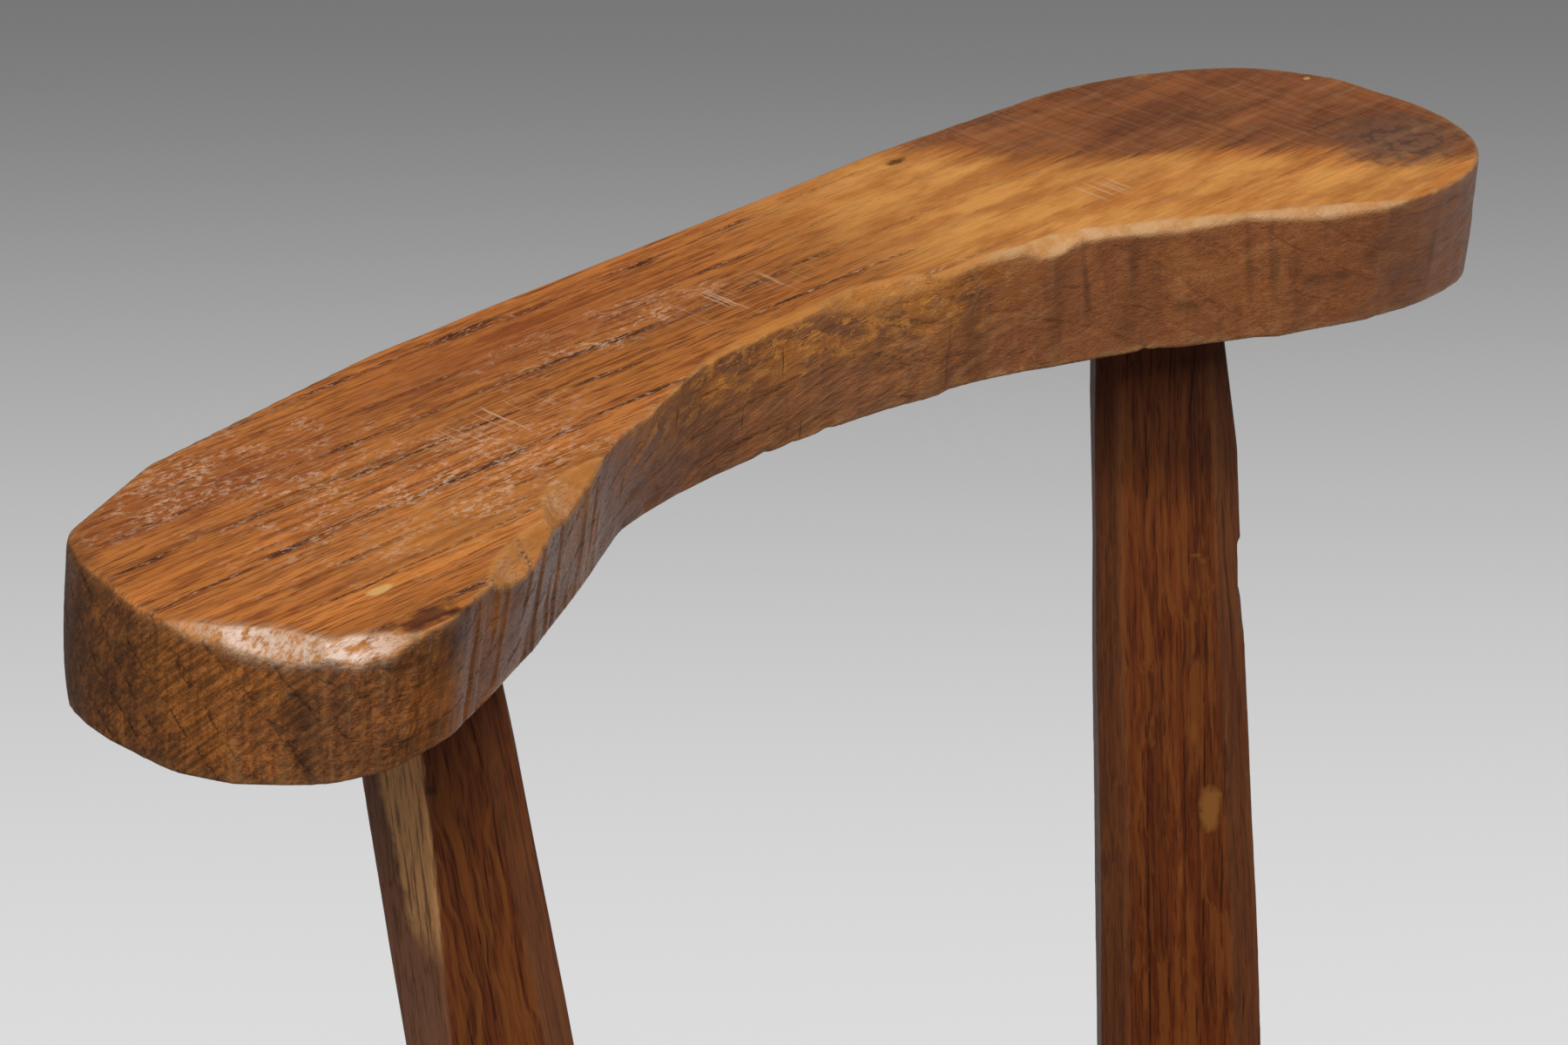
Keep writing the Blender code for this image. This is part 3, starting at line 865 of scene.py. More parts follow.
def saw_kerf(stick, wedge_node):
    """Opens the kerf that a wedge of the frame stands in, a shade wider than the wedge."""
    ends = stick_ends(wedge_node)
    widths = [np.ptp(points_at(wedge_node, end.z)[:, 1]) + 2 * FIT_GAP for end in ends]
    put_down()
    bpy.ops.mesh.primitive_cube_add(size=1.0)
    kerf = bpy.context.active_object
    thick_first = widths[0] > widths[1]
    for vert in kerf.data.vertices:
        end = 0 if vert.co.z < 0 else 1
        height = ends[end].z
        if (end == 0) == thick_first:
            height += -KERF_OVERRUN if end == 0 else KERF_OVERRUN
        middle = on_axis(ends, height)
        across = vert.co.x * 2 * (SEAT_TENON_RADIUS + KERF_OVERRUN)
        vert.co = middle + Vector((across, vert.co.y * widths[end], 0.0))
    cut_away(stick, kerf)


def pare_flat(stick, ends, height, offset, tilt, facing):
    """Cuts a flat that lies at an offset from a stick's axis at a height, and further out below it."""
    slope = (ends[1] - ends[0]) / (ends[1].z - ends[0].z)
    place = on_axis(ends, height) + facing * offset
    facing = facing + Vector((0.0, 0.0, tilt - facing.dot(slope)))
    cut_flat(stick, place, facing)
    return place, facing.normalized()


def nick_post(stick, ends):
    """Takes a shallow bite, deepest at its top, out of the side that the viewer sees on the right."""
    put_down()
    bpy.ops.mesh.primitive_cube_add(
        size=1.0,
        location=on_axis(ends, POST_NICK_HEIGHT) + VIEW_RIGHT * POST_NICK_REACH,
        rotation=(0.0, POST_NICK_LEAN, CAMERA_TURN),
    )
    bpy.context.active_object.scale = POST_NICK_BLOCK
    cut_away(stick, bpy.context.active_object)


def mark_post_faces(post, side, flat_place, flat_facing):
    """Writes where a post shows a hewn corner, shaped for the painted sheen laid there, and where it was
    pared flat.
    """
    normals = normals_of(post)
    points = points_of(post)
    from_corner = np.degrees(np.arctan2(normals[:, 1], normals[:, 0]) - POST_TURNS[side]) % 90.0
    corner = 1.0 - smooth_between(*CORNER_BAND, np.abs(from_corner - 45.0))
    from_flat = np.abs((points - np.array(flat_place)) @ np.array(flat_facing))
    on_flat = 1.0 - smooth_between(*FLAT_BAND, from_flat)
    # The corner share carries a painted sheen: faded up the left post and away from its flat, halved on the
    # right post.
    if side == "left":
        corner *= (1.0 - on_flat) * (1.0 - 0.85 * smooth_between(*CORNER_SHEEN_FADE, points[:, 2]))
    else:
        corner *= 0.5
    write_attribute(post, "corner", corner)
    write_attribute(post, "pared", on_flat)


posts = {}
post_axes = {}
for side, sign in SIDES.items():
    node = f"back_post_{side}"
    ends = stick_ends(node)
    foot, neck = POST_FOOT_WIDTHS[side], POST_NECK_WIDTHS[side]
    body_low, body_high = SEAT_TOP + FIT_GAP, crest_low.z - FIT_GAP
    rings = tapered_rings(body_low, foot, body_high - POST_NECK_LENGTH, neck, POST_RINGS)
    rings.append((body_high, neck - POST_TOP_CUT))
    drifted = [end + POST_DRIFTS[side] for end in ends]
    post = add_stick(f"hewn_post_{side}", drifted, rings, POST_TURNS[side], 1.0 + sign, corner_steps=1)
    flat_place, flat_facing = pare_flat(post, drifted, body_high, *POST_FLATS[side])
    if side == "right":
        nick_post(post, drifted)
    foot_tenon = add_tenon(ends, ends[0].z, body_low + TENON_OVERLAP, SEAT_TENON_RADIUS)
    top_tenon = add_tenon(ends, body_high - TENON_OVERLAP, ends[1].z, CREST_TENON_RADIUS)
    join_on(post, foot_tenon, top_tenon)
    even_out(post, POST_VOXEL)
    ripple(post, depth=0.9 * MM, scale=(45.0, 45.0, 14.0), seed=5.7 + sign)
    mark_worn(post, POST_VOXEL)
    mark_post_faces(post, side, flat_place, flat_facing)
    lay_grain(post, ends[0], ends[1] - ends[0], POST_BARK_SIDES[side], POST_LOG_PLACES[side])
    saw_kerf(post, f"post_wedge_{side}")
    saw_kerf(post, f"crest_wedge_{side}")
    posts[side] = post
    post_axes[side] = drifted
    print(post.name, len(post.data.polygons), "faces")

# %% [markdown]
# ## Seat
# Three boards make the seat. One slab is drawn with a bowed front and back, and a copy of it is sawn for
# each board, so that the edges run on from board to board. The mortises for the legs and posts are bored
# through at the frame's own angles.

# %% Seat boards
SEAT_FRONT_HALF = 225.0 * MM
SEAT_REAR_HALF = 200.0 * MM
SEAT_BOW = 12.0 * MM
SEAT_BOW_RADIUS = 0.900
SEAT_FRONT_RADIUS = 55.0 * MM
SEAT_REAR_RADIUS = 60.0 * MM
SEAT_EASE = 5.0 * MM
SEAT_VOXEL = 2.2 * MM


def bow_lift(half_width):
    return SEAT_BOW_RADIUS * (1 / math.cos(math.atan2(SEAT_BOW, half_width)) - 1)


middle_low, middle_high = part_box("seat_board_middle")
seat_front, seat_rear = middle_low.y, middle_high.y
slab = add_plank(
    "seat_slab",
    (
        (0.0, seat_front - bow_lift(SEAT_FRONT_HALF), SEAT_BOW_RADIUS, 6),
        (SEAT_FRONT_HALF, seat_front + SEAT_BOW, SEAT_FRONT_RADIUS, 8),
        (SEAT_REAR_HALF, seat_rear - SEAT_BOW, SEAT_REAR_RADIUS, 8),
        (0.0, seat_rear + bow_lift(SEAT_REAR_HALF), SEAT_BOW_RADIUS, 6),
        (-SEAT_REAR_HALF, seat_rear - SEAT_BOW, SEAT_REAR_RADIUS, 8),
        (-SEAT_FRONT_HALF, seat_front + SEAT_BOW, SEAT_FRONT_RADIUS, 8),
    ),
    SEAT_FOOT,
    SEAT_TOP,
    SEAT_EASE,
    SEAT_EASE,
)


def saw_board(piece, place, facing):
    """Saws a board at an upright plane and keeps the side behind it."""
    take_up(piece)
    bpy.ops.object.mode_set(mode="EDIT")
    bpy.ops.mesh.select_all(action="SELECT")
    bpy.ops.mesh.bisect(
        plane_co=(place, 0.0, 0.0), plane_no=(facing, 0.0, 0.0), use_fill=True, clear_outer=True,
    )
    put_down()


boards = {}
for index, name in enumerate(("left", "middle", "right")):
    board = slab.copy()
    board.data = slab.data.copy()
    board.name = f"seat_plank_{name}"
    bpy.context.scene.collection.objects.link(board)
    low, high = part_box(f"seat_board_{name}")
    if name != "left":
        saw_board(board, low.x, -1.0)
    if name != "right":
        saw_board(board, high.x, 1.0)
    even_out(board, SEAT_VOXEL)
    ripple(board, depth=0.8 * MM, scale=(28.0, 9.0, 28.0), seed=11.0 + index)
    mark_worn(board, SEAT_VOXEL)
    ring_facing = (0.25 - 0.3 * index, 0.0, 1.0)
    lay_grain(board, (0.0, 0.0, SEAT_TOP), (0.0, 1.0, 0.0), ring_facing, (0.2 * index, 0.0, 0.04 * index))
    boards[name] = board
    print(board.name, len(board.data.polygons), "faces")
bpy.data.objects.remove(slab)

# %% Mortises through the seat
HOLE_OVERRUN = 4.0 * MM
for side in SIDES:
    for node in (f"leg_front_{side}", f"leg_rear_{side}", f"back_post_{side}"):
        ends = stick_ends(node)
        radius = SEAT_TENON_RADIUS + 2 * FIT_GAP
        hole = add_tenon(ends, SEAT_FOOT - HOLE_OVERRUN, SEAT_TOP + HOLE_OVERRUN, radius)
        cut_away(boards[side], hole)
print("mortises cut")

# %% [markdown]
# ## Legs
# The legs are drawn out like the posts, stout under the seat and slimmer at the floor, with their feet sawn
# level. Their tenons come up through the seat, and a wedge driven from above spreads each one.

# %% Legs
LEG_TOP_WIDTH = 56.0 * MM
LEG_FOOT_WIDTH = 39.4 * MM
FOOT_EASE = 3.0 * MM
LEG_TURN = math.radians(45.0)
LEG_VOXEL = 1.6 * MM
LEG_RINGS = 6
LEG_NAMES = [f"{end}_{side}" for end in ("front", "rear") for side in SIDES]
legs = {}
for index, name in enumerate(LEG_NAMES):
    ends = stick_ends(f"leg_{name}")
    leg_high = SEAT_FOOT - FIT_GAP
    rings = [(0.0, LEG_FOOT_WIDTH - 2 * FOOT_EASE)]
    rings += tapered_rings(FOOT_EASE, LEG_FOOT_WIDTH, leg_high, LEG_TOP_WIDTH, LEG_RINGS)
    leg = add_stick(f"hewn_leg_{name}", ends, rings, LEG_TURN, 3.0 + 1.7 * index, corner_steps=2)
    join_on(leg, add_tenon(ends, leg_high - TENON_OVERLAP, ends[1].z, SEAT_TENON_RADIUS))
    even_out(leg, LEG_VOXEL)
    ripple(leg, depth=0.9 * MM, scale=(42.0, 42.0, 13.0), seed=21.0 + index)
    mark_worn(leg, LEG_VOXEL)
    ring_facing = (0.6 * (index - 1.5), -1.0, 0.0)
    lay_grain(leg, ends[0], ends[1] - ends[0], ring_facing, (0.5 * index, 0.01 * index, 0.0))
    saw_kerf(leg, f"leg_wedge_{name}")
    legs[name] = leg
    print(leg.name, len(leg.data.polygons), "faces")

# %% [markdown]
# ## Finishes
# The chair is oak all over, under a thin old wax. Oak is ring porous: each year starts with a dark band of
# wide open pores and ends in dense wood. A painted picture of this would have seams at every corner, so the
# figure is worked out in the log's own space by nodes. What several finishes share is a node group, built
# once and placed in each finish with its own values.

# %% Group helpers
def new_group(name, inputs, outputs):
    """An empty node group with named sockets. Returns its tree and the sockets that its nodes read."""
    tree = bpy.data.node_groups.new(name, "ShaderNodeTree")
    for direction, sockets in (("INPUT", inputs), ("OUTPUT", outputs)):
        for socket_name, kind in sockets.items():
            tree.interface.new_socket(socket_name, in_out=direction, socket_type="NodeSocket" + kind)
    return tree, tree.nodes.new("NodeGroupInput").outputs, tree.nodes.new("NodeGroupOutput").inputs


def place_group(tree, group, **values):
    """Places a group in a finish, with a value or a link for each of its inputs."""
    node = tree.nodes.new("ShaderNodeGroup")
    node.node_tree = group
    for name, value in values.items():
        feed(tree, node.inputs[name.replace("_", " ")], value)
    return node.outputs


print("group helpers ready")

# %% Oak figure
RING_CURVE = 2.2
RING_WANDERS = (((3.2, 14.0, 14.0), 0.010), ((14.0, 120.0, 120.0), 0.0016))


def build_oak_figure():
    """Rings, pores, fibres, streaks and rays of oak, at a place in the log."""
    colours = {name: "Color" for name in ("Late", "Early", "Streak", "Pore", "Ray")}
    tree, given, result = new_group(
        "oak_figure",
        {"Place": "Vector", "Ring Width": "Float", **colours},
        {"Colour": "Color", "Height": "Float", "Pores": "Float", "Rows": "Float"},
    )
    place = given["Place"]
    parts = split_axes(tree, place)

    def wander(scale, reach):
        """Noise of that scale round zero, of that reach."""
        return times(tree, minus(tree, mottle(tree, place, scale), 0.5), reach)

    depth = plus(tree, parts["Z"], times(tree, parts["Y"], parts["Y"], RING_CURVE))
    depth = plus(tree, depth, *(wander(scale, reach) for scale, reach in RING_WANDERS))
    years = maths(tree, "DIVIDE", depth, given["Ring Width"])
    years = plus(tree, years, wander((1.0, 6.0, 70.0), 1.0))
    season = maths(tree, "FRACT", years)
    year_tone = tree.nodes.new("ShaderNodeTexWhiteNoise")
    year_tone.noise_dimensions = "1D"
    tree.links.new(maths(tree, "FLOOR", years), year_tone.inputs["W"])
    broken = fade(tree, mottle(tree, place, (34.0, 300.0, 300.0)), 0.40, 0.62, 0.10, 1.0)
    early = times(tree, fade(tree, season, 0.0, 0.04), fade(tree, season, 0.06, 0.19, 1.0, 0.0), broken)

    vessels = plus(tree, mottle(tree, place, (95.0, 1600.0, 1600.0), 1.0), times(tree, early, 0.20))
    pores = times(tree, fade(tree, vessels, 0.565, 0.65), plus(tree, 0.55, times(tree, early, 0.45)))
    fibres = mottle(tree, place, (22.0, 1500.0, 1500.0), 2.0, 0.6)
    bands = mottle(tree, place, (2.8, 70.0, 70.0), 4.0, 0.6)
    streaks = fade(tree, mottle(tree, place, (6.0, 190.0, 190.0), 5.0, 0.7), 0.47, 0.66)
    threads = fade(tree, mottle(tree, place, (32.0, 620.0, 620.0), 3.0, 0.65), 0.49, 0.59)
    rays = fade(tree, mottle(tree, place, (150.0, 900.0, 42.0), 1.0), 0.56, 0.70)

    lightness = plus(tree, times(tree, fibres, 0.60), times(tree, bands, 1.30))
    lightness = plus(tree, lightness, times(tree, year_tone.outputs["Value"], 0.30))
    colour = lay(tree, given["Late"], given["Early"], early, 0.45)
    colour = lay(tree, colour, given["Streak"], streaks, 0.40)
    colour = lay(tree, colour, given["Streak"], threads, 0.68)
    colour = tone(tree, colour, minus(tree, lightness, 0.02))
    colour = lay(tree, colour, given["Ray"], rays, 0.28)
    colour = lay(tree, colour, given["Pore"], pores, 0.85)
    height = minus(tree, times(tree, fibres, 0.35), pores)
    height = minus(tree, height, times(tree, early, 0.35))
    for name, value in (("Colour", colour), ("Height", height), ("Pores", pores), ("Rows", early)):
        tree.links.new(value, result[name])
    return tree


oak_figure = build_oak_figure()
print("oak figure", len(oak_figure.nodes), "nodes")


# %% Spot mask
def build_spot():
    """1 inside an egg-shaped spot round a centre and 0 outside it, with a ragged edge."""
    tree, given, result = new_group(
        "spot",
        {"Place": "Vector", "Centre": "Vector", "Reach": "Vector", "Softness": "Float", "Ragged": "Float"},
        {"Mask": "Float"},
    )
    offset = vector_maths(tree, "SUBTRACT", given["Place"], given["Centre"])
    offset = vector_maths(tree, "DIVIDE", offset, given["Reach"])
    distance = vector_maths(tree, "LENGTH", offset, (0.0, 0.0, 0.0))
    roughen = minus(tree, mottle(tree, given["Place"], (180.0, 180.0, 180.0), 3.0), 0.5)
    distance = plus(tree, distance, times(tree, roughen, given["Ragged"]))
    inner = minus(tree, 1.0, given["Softness"])
    tree.links.new(fade(tree, distance, inner, 1.0, 1.0, 0.0), result["Mask"])
    return tree


spot = build_spot()


def spot_mask(tree, place, centre, reach, softness, ragged):
    values = {"Place": place, "Centre": centre, "Reach": reach, "Softness": softness, "Ragged": ragged}
    return place_group(tree, spot, **values)["Mask"]


def lay_spots(tree, where, colour, marks, locate):
    """Lays spots over a colour. Each mark is (place, reach, softness, ragged, share, colour)."""
    for place, reach, softness, ragged, share, stain in marks:
        mask = spot_mask(tree, where, locate(*place), [size * MM for size in reach], softness, ragged)
        colour = lay(tree, colour, stain, mask, share)
    return colour


print("spot mask", len(spot.nodes), "nodes")


# %% Wax and bump
WAX_SHINE = 0.18
BUMP_DEPTH = 0.5 * MM


def wax(tree, shader, colour, roughness, height, strength):
    """Feeds a shader the colour, the roughness and the relief of waxed wood."""
    shader["Specular IOR Level"].default_value = WAX_SHINE
    tree.links.new(colour, shader["Base Color"])
    tree.links.new(roughness, shader["Roughness"])
    node = tree.nodes.new("ShaderNodeBump")
    node.inputs["Strength"].default_value = strength
    node.inputs["Distance"].default_value = BUMP_DEPTH
    tree.links.new(height, node.inputs["Height"])
    tree.links.new(node.outputs["Normal"], shader["Normal"])


print("wax ready")

# %% [markdown]
# ## Crest finish
# The crest was cut from a plank with one golden and one dark side, it has a knot in its right end, and its
# arrises are rubbed pale. These are places on the plank, so they are read from Object coordinates. On the
# upright faces the figure is quieter, and the hollow shows torn fibres and golden chips under its arris.

# %% Crest zones
GOLD_LINE = post_line + 37.0 * MM
GOLD_TURN = 144.0 * MM
GOLD_OAKS = ((0.62, 0.220, 0.047, 1.0), (0.96, 0.440, 0.108, 1.0))
DARK_OAKS = ((0.34, 0.112, 0.040, 1.0), (0.17, 0.056, 0.026, 1.0))
SAWN_OAK = (0.46, 0.220, 0.120, 1.0)
QUIET_OAKS = ((0.225, 0.083, 0.028, 1.0), (0.44, 0.160, 0.034, 1.0))
RIGHT_QUIET_OAK = (0.38, 0.115, 0.033, 1.0)
HOLLOW_OAK = (0.33, 0.150, 0.078, 1.0)
TORN_OAK = (0.62, 0.218, 0.038, 1.0)
CHIPPED_OAK = (0.82, 0.345, 0.072, 1.0)
SAW_RUN = Vector((0.03, -1.0, 0.0))
TIP_FIBRES = Vector((0.33, -0.69, 0.64))
HOLLOW_FIBRES = Vector((0.97, 0.0, 0.24))


def place_along(tree, where, run):
    """A place in turned coordinates, whose first number runs along a direction."""
    return turned_place(tree, where, run.rotation_difference(Vector((1.0, 0.0, 0.0))).to_euler())


def golden_and_dark(tree, where, level, colour):
    """The golden front and the dark back of the right half, with saw lines across the dark."""
    parts = split_axes(tree, where)
    along = parts["X"]
    drift = minus(tree, mottle(tree, where, (14.0, 30.0, 30.0), 4.0, 0.6), 0.5)
    backward = minus(tree, parts["Y"], GOLD_LINE)
    backward = plus(tree, backward, times(tree, drift, 0.05), minus(tree, along, GOLD_TURN))
    at_front = fade(tree, backward, -0.024, 0.006, 1.0, 0.0)
    gold_share = times(tree, fade(tree, along, 0.010, 0.095), at_front, level)
    dark_share = times(tree, fade(tree, along, 0.050, 0.115), fade(tree, backward, -0.010, 0.012), level)
    bright = fade(tree, mottle(tree, where, (26.0, 80.0, 80.0), 5.0, 0.65), 0.36, 0.64)
    murk = fade(tree, mottle(tree, where, (18.0, 34.0, 34.0), 5.0, 0.65), 0.38, 0.62)
    colour = lay(tree, colour, blend_colour(tree, bright, *GOLD_OAKS), gold_share, 0.78)
    colour = lay(tree, colour, blend_colour(tree, murk, *DARK_OAKS), dark_share, 0.82)
    sawn = mottle(tree, place_along(tree, where, SAW_RUN), (20.0, 560.0, 20.0), 3.0, 0.6)
    dark_lines = fade(tree, sawn, 0.36, 0.50, 1.0, 0.0)
    colour = lay(tree, colour, tone(tree, colour, 0.55), dark_lines, dark_share, 0.40)
    return lay(tree, colour, SAWN_OAK, fade(tree, sawn, 0.52, 0.70), dark_share, 0.24)


def upright_faces(tree, where, level, colour):
    """The quieter upright faces, with fibres at the left tip and torn wood in the hollow."""
    parts = split_axes(tree, where)
    along = parts["X"]
    upright = minus(tree, 1.0, level)
    patches = fade(tree, mottle(tree, where, (30.0, 30.0, 42.0), 4.0, 0.65), 0.46, 0.60)
    patches = times(tree, patches, fade(tree, along, 0.050, 0.085, 1.0, 0.60))
    quiet = blend_colour(tree, patches, *QUIET_OAKS)
    quiet = lay(tree, quiet, RIGHT_QUIET_OAK, fade(tree, along, 0.050, 0.085, 0.0, 0.5))
    at_tip = fade(tree, along, -0.215, -0.190, 1.0, 0.0)
    quiet_share = minus(tree, fade(tree, along, 0.040, 0.085, 0.68, 0.84), times(tree, at_tip, 0.26))
    colour = lay(tree, colour, quiet, upright, quiet_share)
    in_hollow = times(tree, fade(tree, along, -0.105, -0.085), fade(tree, along, 0.040, 0.070, 1.0, 0.4))
    colour = lay(tree, colour, HOLLOW_OAK, upright, in_hollow, 0.40)
    fibre_runs = ((TIP_FIBRES, at_tip, 0.45, 1.08), (HOLLOW_FIBRES, in_hollow, 0.74, 1.30))
    for run, share, least, most in fibre_runs:
        fibres = mottle(tree, place_along(tree, where, run), (36.0, 760.0, 760.0), 3.0, 0.65)
        fibred = tone(tree, colour, fade(tree, fibres, 0.36, 0.64, least, most))
        colour = lay(tree, colour, fibred, upright, share)
    under_arris = times(
        tree,
        fade(tree, parts["Z"], crest_low.z + 0.014, crest_low.z + 0.034),
        fade(tree, along, -0.105, -0.070),
        fade(tree, along, 0.055, 0.090, 1.0, 0.0),
    )
    torn = fade(tree, mottle(tree, where, (46.0, 46.0, 80.0), 5.0, 0.75), 0.43, 0.52)
    colour = lay(tree, colour, TORN_OAK, under_arris, torn, upright, 0.85)
    chips = fade(tree, mottle(tree, where, (150.0, 150.0, 260.0), 4.0, 0.7), 0.52, 0.58)
    colour = lay(tree, colour, CHIPPED_OAK, under_arris, chips, upright, 0.80)
    shade = fade(tree, mottle(tree, where, (52.0, 52.0, 16.0), 4.0, 0.65), 0.48, 0.64)
    shade_share = minus(tree, 0.55, times(tree, in_hollow, 0.35))
    colour = lay(tree, colour, tone(tree, colour, 0.45), shade, upright, shade_share)
    strokes = fade(tree, mottle(tree, where, (430.0, 430.0, 9.0), 3.0, 0.6), 0.46, 0.60)
    flank = fade(tree, along, -0.120, -0.070, 1.0, 0.30)
    return lay(tree, colour, tone(tree, colour, 0.42), strokes, flank, upright, 0.44)


print("crest zones ready")

# %% [markdown]
# ## Marks on the crest
# Some marks of the real crest have one place: the knot, cracks in the hollow, lines in the right face,
# stains, chips, scuffs and scratches. Each is a ragged spot of a colour. Places are in millimetres along the
# crest, behind the post line and above the underside.

# %% Knot, cracks, stains and chips
def on_crest(x, y, z=42.0):
    """A place on the crest from millimetres along it, behind the post line and above its underside."""
    return (x * MM, post_line + y * MM, crest_low.z + z * MM)


KNOT_PLACE = (230.7, -36.2)
KNOT_REACH = (29.0 * MM, 26.0 * MM, 16.0 * MM)
KNOT_RING = 8.5 * MM
KNOT_WANDER = 36.0 * MM
KNOT_GREY = (0.215, 0.098, 0.058, 1.0)
KNOT_DARK = (0.085, 0.044, 0.028, 1.0)


def knot_swirl(tree, where, colour):
    """A grey knot in the right end, with dark broken rings."""
    centre = on_crest(*KNOT_PLACE)
    mask = spot_mask(tree, where, centre, KNOT_REACH, 0.70, 1.0)
    colour = lay(tree, colour, KNOT_GREY, mask, 0.90)
    distance = vector_maths(tree, "LENGTH", vector_maths(tree, "SUBTRACT", where, centre), (0.0, 0.0, 0.0))
    wander = minus(tree, mottle(tree, where, (70.0, 70.0, 70.0), 4.0, 0.6), 0.5)
    distance = plus(tree, distance, times(tree, wander, KNOT_WANDER))
    rings = maths(tree, "SINE", times(tree, distance, 2.0 * math.pi / KNOT_RING))
    return lay(tree, colour, KNOT_DARK, fade(tree, rings, -0.4, 1.0), mask, 0.60)


CRACK_BROWN = (0.040, 0.015, 0.007, 1.0)
LINE_BROWN = (0.070, 0.025, 0.011, 1.0)
CREST_CRACKS = (
    (-88.0, -10.0, 24.0, 15.0),
    (-69.3, -3.0, 32.0, 4.0),
    (-57.2, 0.4, 30.0, 6.5),
    (-24.4, 6.5, 15.7, 5.5),
    (-7.0, 7.7, 28.0, 7.5),
    (0.4, 7.8, 4.0, 5.5),
    (55.5, 0.6, 16.0, 18.0),
)
RIGHT_FACE_LINES = (
    ((103.9, -17.5, 24.0), (1.8, 9.0, 20.0)),
    ((118.0, -25.0, 30.0), (2.4, 9.0, 16.0)),
    ((151.0, -42.6, 26.0), (2.0, 9.0, 18.0)),
    ((157.5, -46.0, 24.0), (2.2, 9.0, 18.0)),
    ((163.5, -49.2, 21.0), (5.0, 9.0, 3.0)),
    ((169.0, -52.3, 18.0), (7.0, 9.0, 2.6)),
    ((178.0, -57.2, 18.5), (7.0, 9.0, 2.6)),
    ((186.0, -61.5, 23.0), (4.0, 9.0, 6.0)),
    ((133.0, -33.0, 14.0), (14.0, 9.0, 3.0)),
    ((210.0, -70.0, 18.0), (2.4, 9.0, 20.0)),
)
CREST_MARKS = (
    *(((x, y, z), (0.55, 9.0, reach), 0.7, 0.6, 0.75, CRACK_BROWN) for x, y, z, reach in CREST_CRACKS),
    *((place, reach, 0.95, 1.3, 0.50, LINE_BROWN) for place, reach in RIGHT_FACE_LINES),
    ((105.5, 66.0, 42.0), (5.0, 2.6, 20.0), 0.7, 1.4, 0.80, (0.045, 0.014, 0.006, 1.0)),
    ((-200.0, 40.0, 42.0), (80.0, 24.0, 20.0), 0.9, 1.3, 0.42, (0.320, 0.076, 0.021, 1.0)),
    ((-80.0, 52.0, 42.0), (100.0, 22.0, 20.0), 0.9, 1.3, 0.48, (0.330, 0.078, 0.021, 1.0)),
    ((-165.0, -26.0, 42.0), (62.0, 24.0, 20.0), 0.9, 1.3, 0.34, (0.680, 0.270, 0.056, 1.0)),
    ((-207.0, -61.0, 42.0), (15.0, 5.5, 20.0), 0.7, 2.0, 0.85, (0.075, 0.018, 0.009, 1.0)),
    ((-196.0, -64.0, 42.0), (9.0, 3.0, 20.0), 0.7, 2.0, 0.80, (0.060, 0.014, 0.008, 1.0)),
    ((-258.0, 42.0, 20.0), (22.0, 46.0, 44.0), 0.8, 0.9, 0.86, (0.060, 0.026, 0.011, 1.0)),
    ((30.0, -2.0, 33.0), (20.0, 9.0, 9.0), 0.8, 1.4, 0.70, (0.46, 0.185, 0.044, 1.0)),
    ((-242.7, -47.5, 27.0), (2.2, 2.2, 1.0), 0.5, 0.8, 0.90, (0.020, 0.010, 0.006, 1.0)),
    ((-205.0, -40.0, 42.0), (4.8, 1.9, 20.0), 0.4, 1.0, 1.0, (0.74, 0.42, 0.15, 1.0)),
    ((251.6, 18.9, 42.0), (1.6, 1.4, 10.0), 0.5, 0.6, 0.9, (0.70, 0.40, 0.14, 1.0)),
    ((3.0, -2.0, 24.0), (7.0, 8.0, 4.5), 0.7, 2.0, 0.8, (0.55, 0.240, 0.060, 1.0)),
)
print(len(CREST_MARKS), "marks on the crest")

# %% Pores, scuffs and scratches
# Pale colour of torn scuffs on the top, also laid as painted glints of light in the rows of pores.
PALE_SCUFF_AND_GLINT_OAK = (0.80, 0.510, 0.330, 1.0)
PIT_BROWN = (0.085, 0.026, 0.011, 1.0)
SCUFF_PLACES = (
    ((-190.0, 44.0), (70.0, 34.0)),
    ((-150.0, -5.0), (90.0, 50.0)),
    ((-45.0, 38.0), (70.0, 18.0)),
)
SCRATCH_PLACES = (
    ((-112.0, 15.0), (30.0, 14.0)),
    ((-2.0, 28.0), (34.0, 13.0)),
    ((136.0, 5.0), (18.0, 10.0)),
)
SCUFF_DEPTH = 10.0 * MM


def open_rows(tree, grain, rows, level, colour):
    """Dark pits along the rows of open pores, and pale painted glints of light on them where they lie level.
    """
    crackle = mottle(tree, grain, (380.0, 1300.0, 1300.0), 3.0, 0.6)
    colour = lay(tree, colour, PIT_BROWN, rows, fade(tree, crackle, 0.40, 0.50, 0.70, 0.0))
    # Painted glints: pale highlights on the rows where the face lies level.
    return lay(tree, colour, PALE_SCUFF_AND_GLINT_OAK, rows, fade(tree, crackle, 0.54, 0.63, 0.0, 0.60), level)


